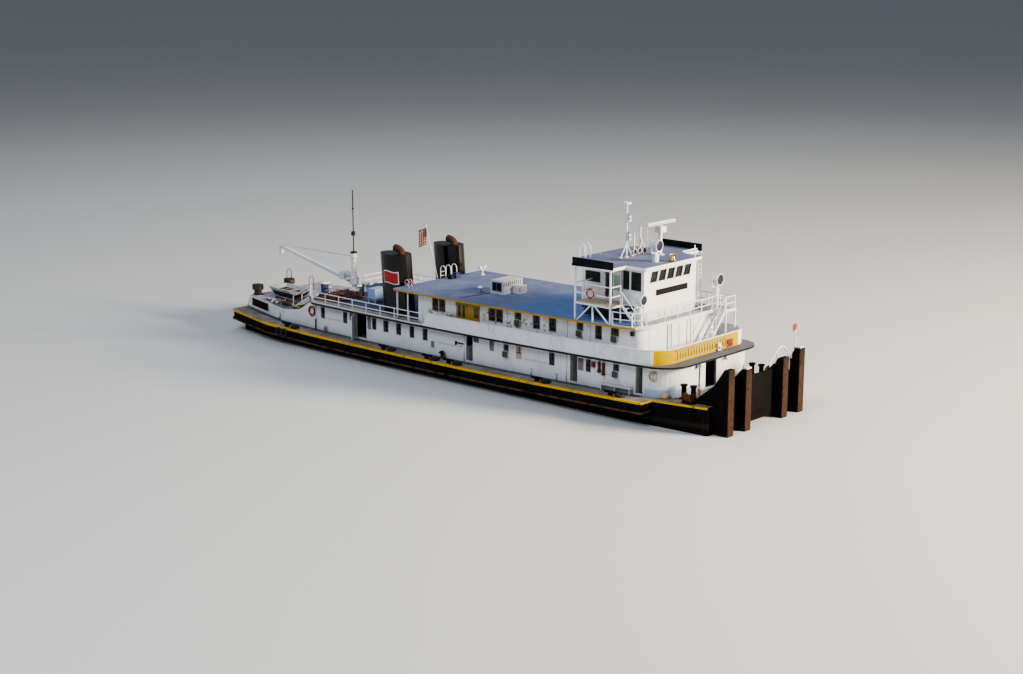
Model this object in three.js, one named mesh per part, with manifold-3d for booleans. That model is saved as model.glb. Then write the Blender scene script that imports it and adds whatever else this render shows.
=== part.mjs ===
// River push towboat, drawn in real metres and built as a 1:2 scale model in millimetres.
// +X is the bow, +Y is port, +Z is up. The origin is under the middle of the flat bottom.
import * as THREE from 'three';
import { mergeVertices } from 'three/addons/utils/BufferGeometryUtils.js';
import Module from 'manifold-3d';

const wasm = await Module();
wasm.setup();

const MODEL_SCALE = 0.5;
const MM_PER_METRE = 1000 * MODEL_SCALE;
const GAP = 0.0007;

// Heights above the baseline
const DRAFT = 2.6;
const DECK_Z = 3.86;
const CASING_Z = 4.76;
const BOAT_DECK_Z = 5.94;
const ROOF_Z = 8.06;
const BRIDGE_Z = 8.45;
const WING_Z = 9.22;
const PILOT_TOP_Z = 11.5;
const PILOT_ROOF_Z = 11.7;
const PLATE = 0.12;

// Hull
const STERN_X = -22.6;
const BOW_X = 21.9;
const HULL_HALF = 5.18;
const BILGE_RADIUS = 0.8;
const GUARD = { aftX: -23, frontX: 17.9, taperX: -17.6, half: 6.14, aftHalf: 5.15, depth: 0.75, lip: 0.08 };
const KEVELS = { xs: [-15.7, -5.3, -1.0, 1.1, 9.1, 15.2], y: 5.8, halfHorn: 0.45, height: 0.34 };
const BITT = { x: 19.7, y: 3.7, spread: 0.36, radius: 0.16, height: 0.95 };
const WINCH = { x: 20.3, y: 4.5, drumRadius: 0.24 };

// Running gear, mirrored to port and starboard
const SHAFT_Y = 2.6;
const SHAFT_Z = 1.25;
const SHAFT_RADIUS = 0.12;
const PROP_X = -17.4;
const PROP_RADIUS = 1.08;
const BLADE_PITCH = 1.1;
const TUNNEL_RADIUS = 1.32;
const STRUT_X = -16.6;
const RUDDER_X = -19.7;
const FLANKING_X = -15.1;
const FLANKING_OFFSET = 0.95;
const RUDDER_FOOT_Z = 0.15;
const STEERING = { chordAft: 1.5, chordFore: 0.8, thickness: 0.28, top: 2.2, stockTop: 2.555 };
const FLANKING = { chordAft: 1.0, chordFore: 0.6, thickness: 0.2, top: 1.98, stockTop: 2.227 };
const ENGINE_WELL = { x0: -8, x1: 1, half: 3.9, floor: 0.4 };
const ENGINE = { x0: -6.2, x1: -1.8, y: 2.0, halfWidth: 0.75, height: 2.2 };

// Push knees at the head of the boat, with plates between them
const KNEE = { faceX: 23.0, footZ: 1.4, thickness: 0.6, crown: 0.35 };
const KNEES = [
  { y: -3.87, top: 6.23, capped: false },
  { y: -2.03, top: 5.95, capped: true },
  { y: 2.03, top: 5.95, capped: false },
  { y: 3.87, top: 6.23, capped: true },
];
const KNEE_PLATE = { x: 22.31, thickness: 0.12, footZ: 2.3, outerTop: 4.75, innerTop: 5.25 };

// Main house and stern casing
const HOUSE_HALF = 4.59;
const HOUSE_AFT_X = -14.2;
const HOUSE_TURN_X = 16.85;
const HOUSE_FRONT_X = 18.95;
const HOUSE_CORNER_RADIUS = 1.7;
const SIDE_WALL_AFT_X = -17.3;
const CASING_AFT_X = -22.62;
const CASING_AFT_HALF = 3.55;
const WALL = 0.1;
const PORTHOLE = { degrees: 78, z: 5.2, radius: 0.25 };
const CAPSTAN = { radius: 0.38, height: 0.85, places: [[-22.2, -3.1], [-22.2, 0.1]] };

// Upper decks: plan outline and height of each
const BOAT_DECK = { aftX: -15.4, aftHalf: 3.8, cutX: -13.7, frontX: 19.45, half: 5.07, frontRadius: 1.9 };
const ROOF = { aftX: -5.6, frontX: 16.55, half: 4.64, aftRadius: 0.3, frontRadius: 1.6 };
const BULWARK = {
  aftX: -2.2,
  frontX: 18.31,
  half: 4.98,
  radius: 1.66,
  height: 0.97,
  wall: 0.08,
  slant: 0.55,
};
const LANDING = { x0: 15, x1: 17.35, y0: 3.45, y1: 4.64 };

// Upper house
const UPPER_HALF = 4.16;
const UPPER_AFT_X = -3.4;
const UPPER_TURN_X = 15.2;
const UPPER_FRONT_X = 16.2;
const UPPER_CORNER_RADIUS = 0.6;

// Pilothouse, level above the roof deck's slope
const LEVEL_X = 13;
const PILOT_AFT_X = 10.3;
const PILOT_FRONT_X = 15.4;
const PILOT_HALF = 2.78;
const PILOT_FLOOR_Z = 9.2;
const WING = { aftX: 11.1, frontX: 14.1, half: 4.52, railHeight: 1.25 };
const EAVES = { aftX: 9.95, frontX: 15.72, half: 3.05 };

// Stacks
const STACK_X = -6.78;
const STACK_Y = 2.71;
const STACK_LENGTH = 2.6;
const STACK_WIDTH = 1.84;
const STACK_TOP_Z = 10.17;
const STACK_RAKE = 0.075;

// Crane at the boat deck's after end
const CRANE_X = -14.5;
const CRANE_TOP_Z = 8.84;
const ANTENNA_TOP_Z = 13.65;
const POST_RADIUS = 0.2;
const WINCH_DRUM = { x: -15.5, z: 7.08, radius: 0.25, halfLength: 0.4 };
const BOOM = { footZ: 6.65, tipX: -23.1, tipZ: 8.46, radius: 0.17, tipRadius: 0.12 };

// Rails: flat bars on square posts, all as thick
const RAIL_BAR = 0.06;
const DECK_RAIL = { inset: 0.15, height: 0.85, middle: 0.46, toe: 0.07 };
const ROOF_RAIL = { inset: 0.09, height: 0.92, middle: 0.48, toe: 0.07 };

// The sheer: how far every deck is lifted at each station, with straight runs in between
const SHEER = [
  { x: -24, lift: 0.37 },
  { x: -18, lift: 0.145 },
  { x: -13, lift: 0.03 },
  { x: -8.5, lift: 0 },
  { x: -3, lift: 0 },
  { x: 3, lift: 0.05 },
  { x: 9, lift: 0.147 },
  { x: 16, lift: 0.318 },
  { x: 24, lift: 0.59 },
];
const ON_STATION = 1e-5;

const PAINTS = {
  hullBlack: { color: 0x1b1713, roughness: 0.7, metalness: 0.2 },
  white: { color: 0xd9dde0, roughness: 0.55, metalness: 0.1 },
  mustard: { color: 0xa57d2d, roughness: 0.6, metalness: 0.1 },
  roofBlue: { color: 0x7e8bab, roughness: 0.7, metalness: 0.1 },
  deckGrey: { color: 0x7d7d80, roughness: 0.8, metalness: 0.1 },
  stackBlack: { color: 0x15130f, roughness: 0.5, metalness: 0.3 },
  rust: { color: 0x8a4a22, roughness: 0.9, metalness: 0.3 },
  bronze: { color: 0xa07b3c, roughness: 0.4, metalness: 0.9 },
  engine: { color: 0x5c6b5e, roughness: 0.6, metalness: 0.4 },
};

const boat = new THREE.Group();

function sheerAt(x) {
  const next = SHEER.findIndex((station) => station.x > x);
  const [a, b] = [SHEER[next - 1], SHEER[next]];
  return a.lift + ((b.lift - a.lift) * (x - a.x)) / (b.x - a.x);
}

// Outlines: corners are [x, y, radius]

function roundedOutline(corners, steps = 4) {
  const points = [];
  corners.forEach(([x, y, radius = 0], i) => {
    const before = corners[(i + corners.length - 1) % corners.length];
    const after = corners[(i + 1) % corners.length];
    if (!radius) {
      points.push(new THREE.Vector2(x, y));
      return;
    }
    const corner = new THREE.Vector2(x, y);
    const back = new THREE.Vector2(before[0] - x, before[1] - y).normalize();
    const on = new THREE.Vector2(after[0] - x, after[1] - y).normalize();
    const half = Math.acos(THREE.MathUtils.clamp(back.dot(on), -1, 1)) / 2;
    const start = corner.clone().addScaledVector(back, radius / Math.tan(half));
    const end = corner.clone().addScaledVector(on, radius / Math.tan(half));
    const inward = back.clone().add(on).normalize();
    const middle = corner.clone().addScaledVector(inward, radius / Math.sin(half));
    const from = Math.atan2(start.y - middle.y, start.x - middle.x);
    let sweep = Math.atan2(end.y - middle.y, end.x - middle.x) - from;
    if (sweep > Math.PI) sweep -= 2 * Math.PI;
    if (sweep < -Math.PI) sweep += 2 * Math.PI;
    for (let s = 0; s <= steps; s += 1) {
      points.push(onArc([middle.x, middle.y], radius, from + (sweep * s) / steps));
    }
  });
  return points;
}

function onArc([x, y], radius, angle) {
  return new THREE.Vector2(x + radius * Math.cos(angle), y + radius * Math.sin(angle));
}

// A path of corners moved to its left by a distance
function moved(path, distance) {
  const points = path.map(([x, y]) => new THREE.Vector2(x, y));
  return path.map(([x, y, radius = 0], i) => {
    const on = i < path.length - 1 ? points[i + 1].clone().sub(points[i]).normalize() : null;
    const before = i > 0 ? points[i].clone().sub(points[i - 1]).normalize() : on;
    const after = on ?? before;
    const reach = distance / (1 + before.dot(after));
    const turn = Math.sign(before.cross(after));
    const [dx, dy] = [-(before.y + after.y) * reach, (before.x + after.x) * reach];
    return [x + dx, y + dy, radius && radius - turn * distance];
  });
}

// The outline of a strip of this width along a path
function strip(path, width) {
  return [...moved(path, -width / 2), ...moved(path, width / 2).reverse()];
}

// The starboard half of an outline and its mirror image
function wholePlan(starboard) {
  const port = starboard.map(([x, y, radius]) => [x, -y, radius]).reverse();
  return [...starboard, ...port];
}

// Solids

function extruded(outline, depth) {
  return new THREE.ExtrudeGeometry(new THREE.Shape(outline), { depth, bevelEnabled: false });
}

// A plan outline [x, y] raised from z0 to z1
function plan(corners, z0, z1, steps) {
  return extruded(roundedOutline(corners, steps), z1 - z0).translate(0, 0, z0);
}

// A side view [x, z] carried across from y0 to y1
function side(corners, y0, y1) {
  return extruded(roundedOutline(corners), y1 - y0).rotateX(Math.PI / 2).translate(0, y1, 0);
}

// A section [y, z] carried along from x0 to x1
function section(corners, x0, x1) {
  const geometry = extruded(roundedOutline(corners), x1 - x0);
  return geometry.rotateX(Math.PI / 2).rotateZ(Math.PI / 2).translate(x0, 0, 0);
}

function block(x0, x1, y0, y1, z0, z1) {
  const geometry = new THREE.BoxGeometry(x1 - x0, y1 - y0, z1 - z0);
  return geometry.translate((x0 + x1) / 2, (y0 + y1) / 2, (z0 + z1) / 2);
}

// An upright square post, this wide, with its middle at x and y
function post(x, y, width, z0, z1) {
  return block(x - width / 2, x + width / 2, y - width / 2, y + width / 2, z0, z1);
}

// A straight round bar between two points, its corners turned by phase
function bar(from, to, radius, sides = 8, endRadius = radius, phase = 0) {
  const a = new THREE.Vector3(...from);
  const b = new THREE.Vector3(...to);
  const run = b.clone().sub(a);
  const geometry = new THREE.CylinderGeometry(endRadius, radius, run.length(), sides, 1, false, phase);
  const axis = new THREE.Vector3(0, 1, 0);
  const turn = new THREE.Quaternion().setFromUnitVectors(axis, run.clone().normalize());
  geometry.applyQuaternion(turn);
  const middle = a.add(b).multiplyScalar(0.5);
  return geometry.translate(middle.x, middle.y, middle.z);
}

function column(x, y, radius, z0, z1, sides = 12) {
  return bar([x, y, z0], [x, y, z1], radius, sides);
}

// The tool for a hole that a bar of this radius turns in: its flats clear the bar's corners
function bore(from, to, radius, sides) {
  const cornerRadius = (radius + GAP) / Math.cos(Math.PI / sides);
  return bar(from, to, cornerRadius, sides, cornerRadius, Math.PI / sides);
}

// A bent round pipe through points, as one solid
function pipe(points, radius, sides, steps) {
  const round = new THREE.Shape();
  round.absarc(0, 0, radius, 0, 2 * Math.PI);
  const curve = new THREE.CatmullRomCurve3(points.map((p) => new THREE.Vector3(...p)));
  return new THREE.ExtrudeGeometry(round, { steps, extrudePath: curve, curveSegments: sides / 2 });
}

function solid(geometry) {
  const bare = geometry.clone();
  bare.deleteAttribute('normal');
  bare.deleteAttribute('uv');
  const welded = mergeVertices(bare, 1e-5);
  const mesh = new wasm.Mesh({
    numProp: 3,
    vertProperties: new Float32Array(welded.attributes.position.array),
    triVerts: new Uint32Array(welded.index.array),
  });
  return new wasm.Manifold(mesh);
}

function asSolid(thing) {
  return thing instanceof THREE.BufferGeometry ? solid(thing) : thing;
}

function joined(...pieces) {
  return pieces.map(asSolid).reduce((whole, piece) => whole.add(piece));
}

function cut(whole, ...tools) {
  return tools.map(asSolid).reduce((rest, tool) => rest.subtract(tool), asSolid(whole));
}

function common(...pieces) {
  return pieces.map(asSolid).reduce((whole, piece) => whole.intersect(piece));
}

// The triangles of a solid, mirrored to port if asked
function trianglesOf(manifold, mirror) {
  const { vertProperties, triVerts, numProp } = manifold.getMesh();
  const triangles = [];
  for (let t = 0; t < triVerts.length; t += 3) {
    const order = mirror ? [0, 2, 1] : [0, 1, 2];
    triangles.push(order.map((c) => {
      const at = triVerts[t + c] * numProp;
      return [vertProperties[at], vertProperties[at + 1] * (mirror ? -1 : 1), vertProperties[at + 2]];
    }));
  }
  return triangles;
}

// Where an edge crosses a station, worked out the same way from both of its triangles
function crossing(a, b, x) {
  const [low, high] = a[0] < b[0] ? [a, b] : [b, a];
  const t = (x - low[0]) / (high[0] - low[0]);
  return [x, low[1] + (high[1] - low[1]) * t, low[2] + (high[2] - low[2]) * t];
}

function splitAt(triangles, x) {
  return triangles.flatMap((triangle) => {
    const sides = triangle.map((p) => (Math.abs(p[0] - x) < ON_STATION ? 0 : Math.sign(p[0] - x)));
    if (!sides.includes(1) || !sides.includes(-1)) return [triangle];
    const onStation = sides.indexOf(0);
    const odd = sides.findIndex((s) => sides.filter((o) => o === s).length === 1);
    const first = onStation >= 0 ? onStation : odd;
    const [a, b, c] = [0, 1, 2].map((i) => triangle[(first + i) % 3]);
    if (onStation >= 0) {
      const m = crossing(b, c, x);
      return [[a, b, m], [a, m, c]];
    }
    const [p, q] = [crossing(a, b, x), crossing(a, c, x)];
    return [[a, p, q], [p, b, c], [p, c, q]];
  });
}

// Splits the faces at the stations, lifts them by the sheer and scales them to the model
function finished(manifold, liftOf, mirror) {
  let triangles = trianglesOf(manifold, mirror);
  SHEER.forEach((station) => {
    triangles = splitAt(triangles, station.x);
  });
  const positions = triangles.flat().flatMap(([x, y, z]) => [x, y, z + liftOf(x, z)]);
  const geometry = new THREE.BufferGeometry();
  geometry.setAttribute('position', new THREE.Float32BufferAttribute(positions, 3));
  geometry.scale(MM_PER_METRE, MM_PER_METRE, MM_PER_METRE);
  const welded = mergeVertices(geometry, 1e-3);
  welded.computeVertexNormals();
  return welded;
}

const followsSheer = (x) => sheerAt(x);
const liftedAt = (x) => () => sheerAt(x);
const keepsHeight = () => 0;
const levelPilothouse = liftedAt(LEVEL_X);
const onRoof = standingOn(ROOF_Z, LEVEL_X);

// Stands plumb, with its foot cut to the slope of the deck at footZ
function standingOn(footZ, atX) {
  return (x, z) => sheerAt(z < footZ + 2 * GAP ? x : atX);
}

function add(name, shape, paint, liftOf = followsSheer, mirror = false) {
  const material = new THREE.MeshStandardMaterial(PAINTS[paint]);
  const mesh = new THREE.Mesh(finished(asSolid(shape), liftOf, mirror), material);
  mesh.name = name;
  boat.add(mesh);
}

// Adds a piece drawn on the starboard side, and its mirror image to port
function addPair(name, shape, paint, liftOf, ending = '') {
  add(`${name}_starboard${ending}`, shape, paint, liftOf);
  add(`${name}_port${ending}`, shape, paint, liftOf, true);
}

const BOTH_SIDES = [-1, 1];

// Rails and stairs

// A rail along a path: toe board, middle bar and top bar, on posts
function railing(path, posts, deckZ, { height, middle, toe }) {
  const foot = deckZ + GAP;
  const toeBoard = plan(strip(path, RAIL_BAR), foot, foot + toe);
  const bars = [middle, height].map((top) => {
    return plan(strip(path, RAIL_BAR), deckZ + top - RAIL_BAR, deckZ + top);
  });
  const uprights = posts.map(([x, y]) => post(x, y, RAIL_BAR, foot, deckZ + height));
  return joined(toeBoard, ...bars, ...uprights);
}

// A rectangle this far to each side of a run, between two heights
function upright(at, reach, z0, z1) {
  return [[at - reach, z0], [at + reach, z0], [at + reach, z1], [at - reach, z1]];
}

// A stair drawn as [run, z] side views that carry() spreads from near to far
function stair({ foot, top, near, far, steps, railHeight, carry }) {
  const [run, rise] = [top[0] - foot[0], top[1] - foot[1]];
  const ahead = Math.sign(run);
  const sheet = 0.05;
  const stringer = [
    [foot[0] - ahead * 0.1, foot[1]],
    [foot[0] + ahead * 0.14, foot[1]],
    [top[0], top[1] - (0.14 * rise) / Math.abs(run)],
    [top[0], top[1]],
    [top[0] - ahead * 0.1, top[1]],
  ];
  const handrail = [
    [foot[0] - ahead * 0.03, foot[1] + railHeight - RAIL_BAR],
    [top[0], top[1] + railHeight - RAIL_BAR],
    [top[0], top[1] + railHeight],
    [foot[0] - ahead * 0.03, foot[1] + railHeight],
  ];
  const uprights = [
    { at: foot[0], z0: foot[1], z1: foot[1] + railHeight },
    { at: top[0] - ahead * 0.05, z0: top[1] - 0.1, z1: top[1] + railHeight - 0.02 },
  ];
  const flanks = [[near, near + sheet], [far - sheet, far]].flatMap(([a, b]) => [
    carry(stringer, a, b),
    carry(handrail, a, b),
    ...uprights.map(({ at, z0, z1 }) => carry(upright(at, 0.03, z0, z1), a, b)),
  ]);
  const treads = [];
  for (let n = 1; n <= steps; n += 1) {
    const part = n / (steps + 1);
    const [at, z] = [foot[0] + run * part, foot[1] + rise * part];
    treads.push(carry(upright(at, 0.11, z - 0.03, z), near + 0.02, far - 0.02));
  }
  return joined(...flanks, ...treads);
}

// Hull: side view, plan and midship section crossed, less the tunnels and the engine well

const HULL_PLAN_HALF = [
  [STERN_X, -4.4, 0.6],
  [-16.5, -HULL_HALF],
  [15.5, -HULL_HALF],
  [BOW_X, -4.74],
];

const HULL_SIDE = [
  [STERN_X, 2.35],
  [-13.3, 2.2],
  [-9.5, 0],
  [15, 0],
  [18.6, 0.55],
  [21.2, 1.55],
  [BOW_X, 2.1],
  [BOW_X, DECK_Z],
  [STERN_X, DECK_Z],
];

const HULL_SECTION = [
  [-HULL_HALF, 0, BILGE_RADIUS],
  [HULL_HALF, 0, BILGE_RADIUS],
  [HULL_HALF, DECK_Z],
  [-HULL_HALF, DECK_Z],
];

function tunnel(y) {
  const profile = [
    new THREE.Vector2(0, 0),
    new THREE.Vector2(TUNNEL_RADIUS, 0),
    new THREE.Vector2(TUNNEL_RADIUS, 9.2),
    new THREE.Vector2(0.3, 13.2),
    new THREE.Vector2(0, 13.2),
  ];
  return new THREE.LatheGeometry(profile, 20).rotateZ(-Math.PI / 2).translate(STERN_X - 0.4, y, SHAFT_Z);
}

function shaftStrut(y) {
  const barrel = bar([STRUT_X - 0.2, y, SHAFT_Z], [STRUT_X + 0.2, y, SHAFT_Z], SHAFT_RADIUS + 0.12, 16);
  const arm = block(STRUT_X - 0.18, STRUT_X + 0.18, y - 0.06, y + 0.06, SHAFT_Z + 0.05, 2.9);
  const hole = bore([STRUT_X + 1, y, SHAFT_Z], [STRUT_X - 1, y, SHAFT_Z], SHAFT_RADIUS, 16);
  return cut(joined(barrel, arm), hole);
}

// A double bitt and a small winch on each side of the foredeck
function foredeckGear(sign) {
  const { x, y, spread, radius, height } = BITT;
  const foot = DECK_Z - 0.01;
  const posts = [x - spread, x + spread].flatMap((at) => [
    column(at, y * sign, radius, foot, DECK_Z + height),
    column(at, y * sign, radius + 0.07, DECK_Z + height - 0.1, DECK_Z + height),
  ]);
  const winchY = WINCH.y * sign;
  const drumZ = DECK_Z + 0.36;
  return joined(
    block(x - 0.6, x + 0.6, y * sign - 0.25, y * sign + 0.25, foot, DECK_Z + 0.08),
    ...posts,
    block(WINCH.x - 0.4, WINCH.x + 0.4, winchY - 0.27, winchY + 0.27, foot, DECK_Z + 0.1),
    bar([WINCH.x - 0.3, winchY, drumZ], [WINCH.x + 0.3, winchY, drumZ], WINCH.drumRadius, 12),
    ...[-0.3, 0.3].map((dx) => bar(
      [WINCH.x + dx - 0.03, winchY, drumZ],
      [WINCH.x + dx + 0.03, winchY, drumZ],
      WINCH.drumRadius + 0.09,
      12,
    )),
  );
}

function makeHull() {
  const body = common(
    side(HULL_SIDE, -6, 6),
    plan(wholePlan(HULL_PLAN_HALF), -1, DECK_Z),
    section(HULL_SECTION, -24, 24),
  );
  const { x0, x1, half, floor } = ENGINE_WELL;
  const well = block(x0, x1, -half, half, floor, DECK_Z + 1);
  const hollowed = cut(body, tunnel(-SHAFT_Y), tunnel(SHAFT_Y), well);
  const gear = BOTH_SIDES.map(foredeckGear);
  add('hull', joined(hollowed, shaftStrut(-SHAFT_Y), shaftStrut(SHAFT_Y), ...gear), 'hullBlack', hullLift);
}

// The bottom stays flat: only the deck takes the sheer
function hullLift(x, z) {
  return sheerAt(x) * THREE.MathUtils.clamp((z - DRAFT) / (DECK_Z - DRAFT), 0, 1);
}

// The starboard guard's plan, drawn in from its outer edge
function guardOutline(inset) {
  const half = GUARD.half - inset;
  const aftX = GUARD.aftX + inset;
  return [
    [GUARD.frontX - inset, -1],
    [GUARD.frontX - inset, -half],
    [GUARD.taperX, -half],
    [aftX, inset - GUARD.aftHalf, 0.3],
    [aftX, -GAP],
    [0, -GAP],
  ];
}

function kevel(x) {
  const { y, halfHorn, height } = KEVELS;
  return joined(
    block(x - 0.12, x + 0.12, -y - 0.1, -y + 0.1, DECK_Z - 0.02, DECK_Z + height - 0.05),
    block(x - halfHorn, x + halfHorn, -y - 0.07, -y + 0.07, DECK_Z + height - 0.12, DECK_Z + height),
  );
}

function makeGuards() {
  const foot = DECK_Z - GUARD.depth;
  const keepOut = HULL_PLAN_HALF.map(([x, y, radius]) => [x + Math.sign(x) * GAP, y - GAP, radius]);
  const ring = joined(
    plan(guardOutline(GUARD.lip), foot, DECK_Z),
    plan(guardOutline(0), DECK_Z - 0.12, DECK_Z),
    plan(guardOutline(0), foot, foot + 0.14),
  );
  const guard = cut(ring, plan(wholePlan(keepOut), DECK_Z - 2, DECK_Z + 1));
  addPair('guard', joined(guard, ...KEVELS.xs.map(kevel)), 'hullBlack');
}

function knee({ y, top, capped }) {
  const { faceX, footZ, thickness, crown } = KNEE;
  const half = thickness / 2;
  const outline = [
    [faceX, footZ],
    [faceX, top],
    [faceX - crown, top],
    [faceX - 1.1, 5.12],
    [faceX - 2.4, DECK_Z + 0.25],
    [faceX - 2.4, DECK_Z + GAP],
    [BOW_X + GAP, DECK_Z + GAP],
    [BOW_X + GAP, footZ],
  ];
  const body = side(outline, y - half, y + half);
  if (!capped) return body;
  const cap = block(faceX - crown, faceX - 0.01, y - half + 0.06, y + half - 0.06, top - 0.01, top + 0.1);
  return joined(body, cap);
}

function makePushKnees() {
  const { x, thickness, footZ, outerTop, innerTop } = KNEE_PLATE;
  const [x0, x1] = [x - thickness / 2, x + thickness / 2];
  const [outerY, innerY] = [KNEES[3].y, KNEES[2].y];
  const arch = pipe([
    [x, 0.85, innerTop - 0.03],
    [x, 1.6, 5.95],
    [x, 2.5, 6.5],
    [x, 3.05, 6.2],
    [x, 3.42, 5.5],
    [x, 3.45, outerTop - 0.03],
  ], 0.05, 8, 14);
  const pieces = [
    ...KNEES.map(knee),
    block(x0, x1, -outerY, outerY, footZ, outerTop),
    block(x0, x1, -innerY, innerY, outerTop - 0.1, innerTop),
    arch,
    bar([x, 1.95, 6.12], [x, 2.4, innerTop - 0.5], 0.04, 6),
    bar([x + 0.25, 3.65, 5.5], [x + 0.25, 3.65, 7.95], 0.05, 8),
  ];
  add('push_knees', joined(...pieces), 'hullBlack');
}

// Running gear

function blade(hand) {
  const outline = roundedOutline([
    [-0.16, 0.12],
    [0.16, 0.12],
    [0.5, 0.75, 0.35],
    [0.2, PROP_RADIUS, 0.2],
    [-0.3, PROP_RADIUS - 0.06, 0.3],
    [-0.42, 0.6, 0.3],
  ], 3);
  return extruded(outline, 0.06).translate(0, 0, -0.03).rotateX(Math.PI / 2).rotateZ(hand * BLADE_PITCH);
}

function makePropellers() {
  const y = -SHAFT_Y;
  const shaft = bar([-12.2, y, SHAFT_Z], [PROP_X, y, SHAFT_Z], SHAFT_RADIUS, 16);
  const hub = bar([PROP_X + 0.3, y, SHAFT_Z], [PROP_X - 0.35, y, SHAFT_Z], 0.26, 16, 0.16);
  const blades = [0, 1, 2, 3].map((n) => {
    return blade(-1).rotateX((n * Math.PI) / 2).translate(PROP_X, y, SHAFT_Z);
  });
  addPair('propeller', joined(shaft, hub, ...blades), 'bronze', keepsHeight);
}

function rudder(x, y, { chordAft, chordFore, thickness, top, stockTop }) {
  const foil = [
    [chordFore, 0],
    [chordFore * 0.6, thickness / 2],
    [-chordAft, 0.03],
    [-chordAft, -0.03],
    [chordFore * 0.6, -thickness / 2],
  ];
  const stock = column(0, 0, 0.09, top - 0.2, stockTop);
  return joined(plan(foil, RUDDER_FOOT_Z, top), stock).translate([x, y, 0]);
}

function makeRudders() {
  addPair('rudder', rudder(RUDDER_X, -SHAFT_Y, STEERING), 'hullBlack', keepsHeight);
  const [inner, outer] = [FLANKING_OFFSET, -FLANKING_OFFSET].map((dy) => {
    return rudder(FLANKING_X, dy - SHAFT_Y, FLANKING);
  });
  addPair('flanking_rudder', inner, 'hullBlack', keepsHeight, '_inner');
  addPair('flanking_rudder', outer, 'hullBlack', keepsHeight, '_outer');
}

function makeEngines() {
  const { x0, x1, y, halfWidth, height } = ENGINE;
  const { floor } = ENGINE_WELL;
  const engine = block(x0, x1, -y - halfWidth, -y + halfWidth, floor + GAP, floor + height);
  addPair('engine', engine, 'engine', keepsHeight);
}

// Houses: windows and doorways of a side wall, measured on the starboard side

const MAIN_WINDOWS = [
  { x: -12.97, width: 0.42 },
  { x: -10.55, width: 0.45 },
  { x: -7.48, width: 0.45 },
  { x: -6.27, width: 0.52 },
  { x: -4.97, width: 0.5 },
  { x: -3.64, width: 0.46 },
  { x: -2.33, width: 0.48 },
  { x: 5.3, width: 0.46 },
  { x: 6.44, width: 0.48 },
  { x: 9.33, width: 0.47 },
  { x: 12.41, width: 0.42 },
  { x: 14.68, width: 0.48 },
];
const MAIN_SILL_Z = 4.78;
const MAIN_HEAD_Z = 5.62;
const MAIN_COOLER_XS = [5.3, 14.68];

const MAIN_DOORWAYS = [
  { x0: -9.37, x1: -8.31 },
  { x0: 1.62, x1: 2.24 },
  { x0: 10.9, x1: 11.5 },
  { x0: 16.25, x1: 16.8 },
];
const DOOR_FOOT_Z = 3.98;
const DOOR_HEAD_Z = 5.68;
const FRONT_DOORWAY = { y0: -1.0, y1: 0.2 };

const UPPER_WINDOWS = [
  { x: -1.72, width: 0.55 },
  { x: -1.06, width: 0.55 },
  { x: 3.62, width: 0.58 },
  { x: 4.3, width: 0.58 },
  { x: 5.98, width: 0.54 },
  { x: 7.6, width: 0.56 },
  { x: 9.0, width: 0.58 },
  { x: 11.33, width: 0.5 },
  { x: 12.87, width: 0.5 },
  { x: 14.2, width: 0.6 },
];
const UPPER_SILL_Z = 6.94;
const UPPER_HEAD_Z = 7.8;
const UPPER_COOLER_XS = [5.98, 11.33, 14.2];
const UPPER_DOORWAYS = [{ x0: 0.42, x1: 1.26 }];
const UPPER_DOOR_FOOT_Z = 6.08;
const UPPER_DOOR_HEAD_Z = 7.86;

// A tool that cuts the side walls between x0 and x1
function opening(x0, x1, z0, z1) {
  return block(x0, x1, -6, 6, z0, z1);
}

function windowHoles(rows, sill, head) {
  return rows.map(({ x, width }) => opening(x - width / 2, x + width / 2, sill, head));
}

function doorHoles(rows, foot, head) {
  return rows.map(({ x0, x1 }) => opening(x0, x1, foot, head));
}

// A flat starboard side wall seen from the side, its outer face at the house's half breadth
function sideWall(corners, holes, half) {
  return cut(side(corners, -half, -half + WALL), ...holes);
}

// An air cooler that stands in the lower half of a window
function cooler(x, sill, half) {
  return block(x - 0.24, x + 0.24, -half - 0.15, -half + WALL, sill - 0.02, sill + 0.38);
}

// The rounded front of a house: the side walls' ends turn in to the front wall
function frontShell(turnX, frontX, half, radius, z0, z1) {
  const outer = wholePlan([[turnX + GAP, -half], [frontX, -half, radius]]);
  const inner = wholePlan([[turnX - 1, -half + WALL], [frontX - WALL, -half + WALL, radius - WALL]]);
  return cut(plan(outer, z0, z1, 9), plan(inner, z0 - 1, z1 + 1, 9));
}

// A round hole through the house's rounded corner
function portholeTool(sign) {
  const { degrees, z, radius } = PORTHOLE;
  const centre = [HOUSE_FRONT_X - HOUSE_CORNER_RADIUS, (HOUSE_HALF - HOUSE_CORNER_RADIUS) * sign];
  const angle = THREE.MathUtils.degToRad(degrees) * sign;
  const [near, far] = [-0.5, 0.5].map((d) => onArc(centre, HOUSE_CORNER_RADIUS + d, angle));
  return bar([near.x, near.y, z], [far.x, far.y, z], radius, 16);
}

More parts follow.
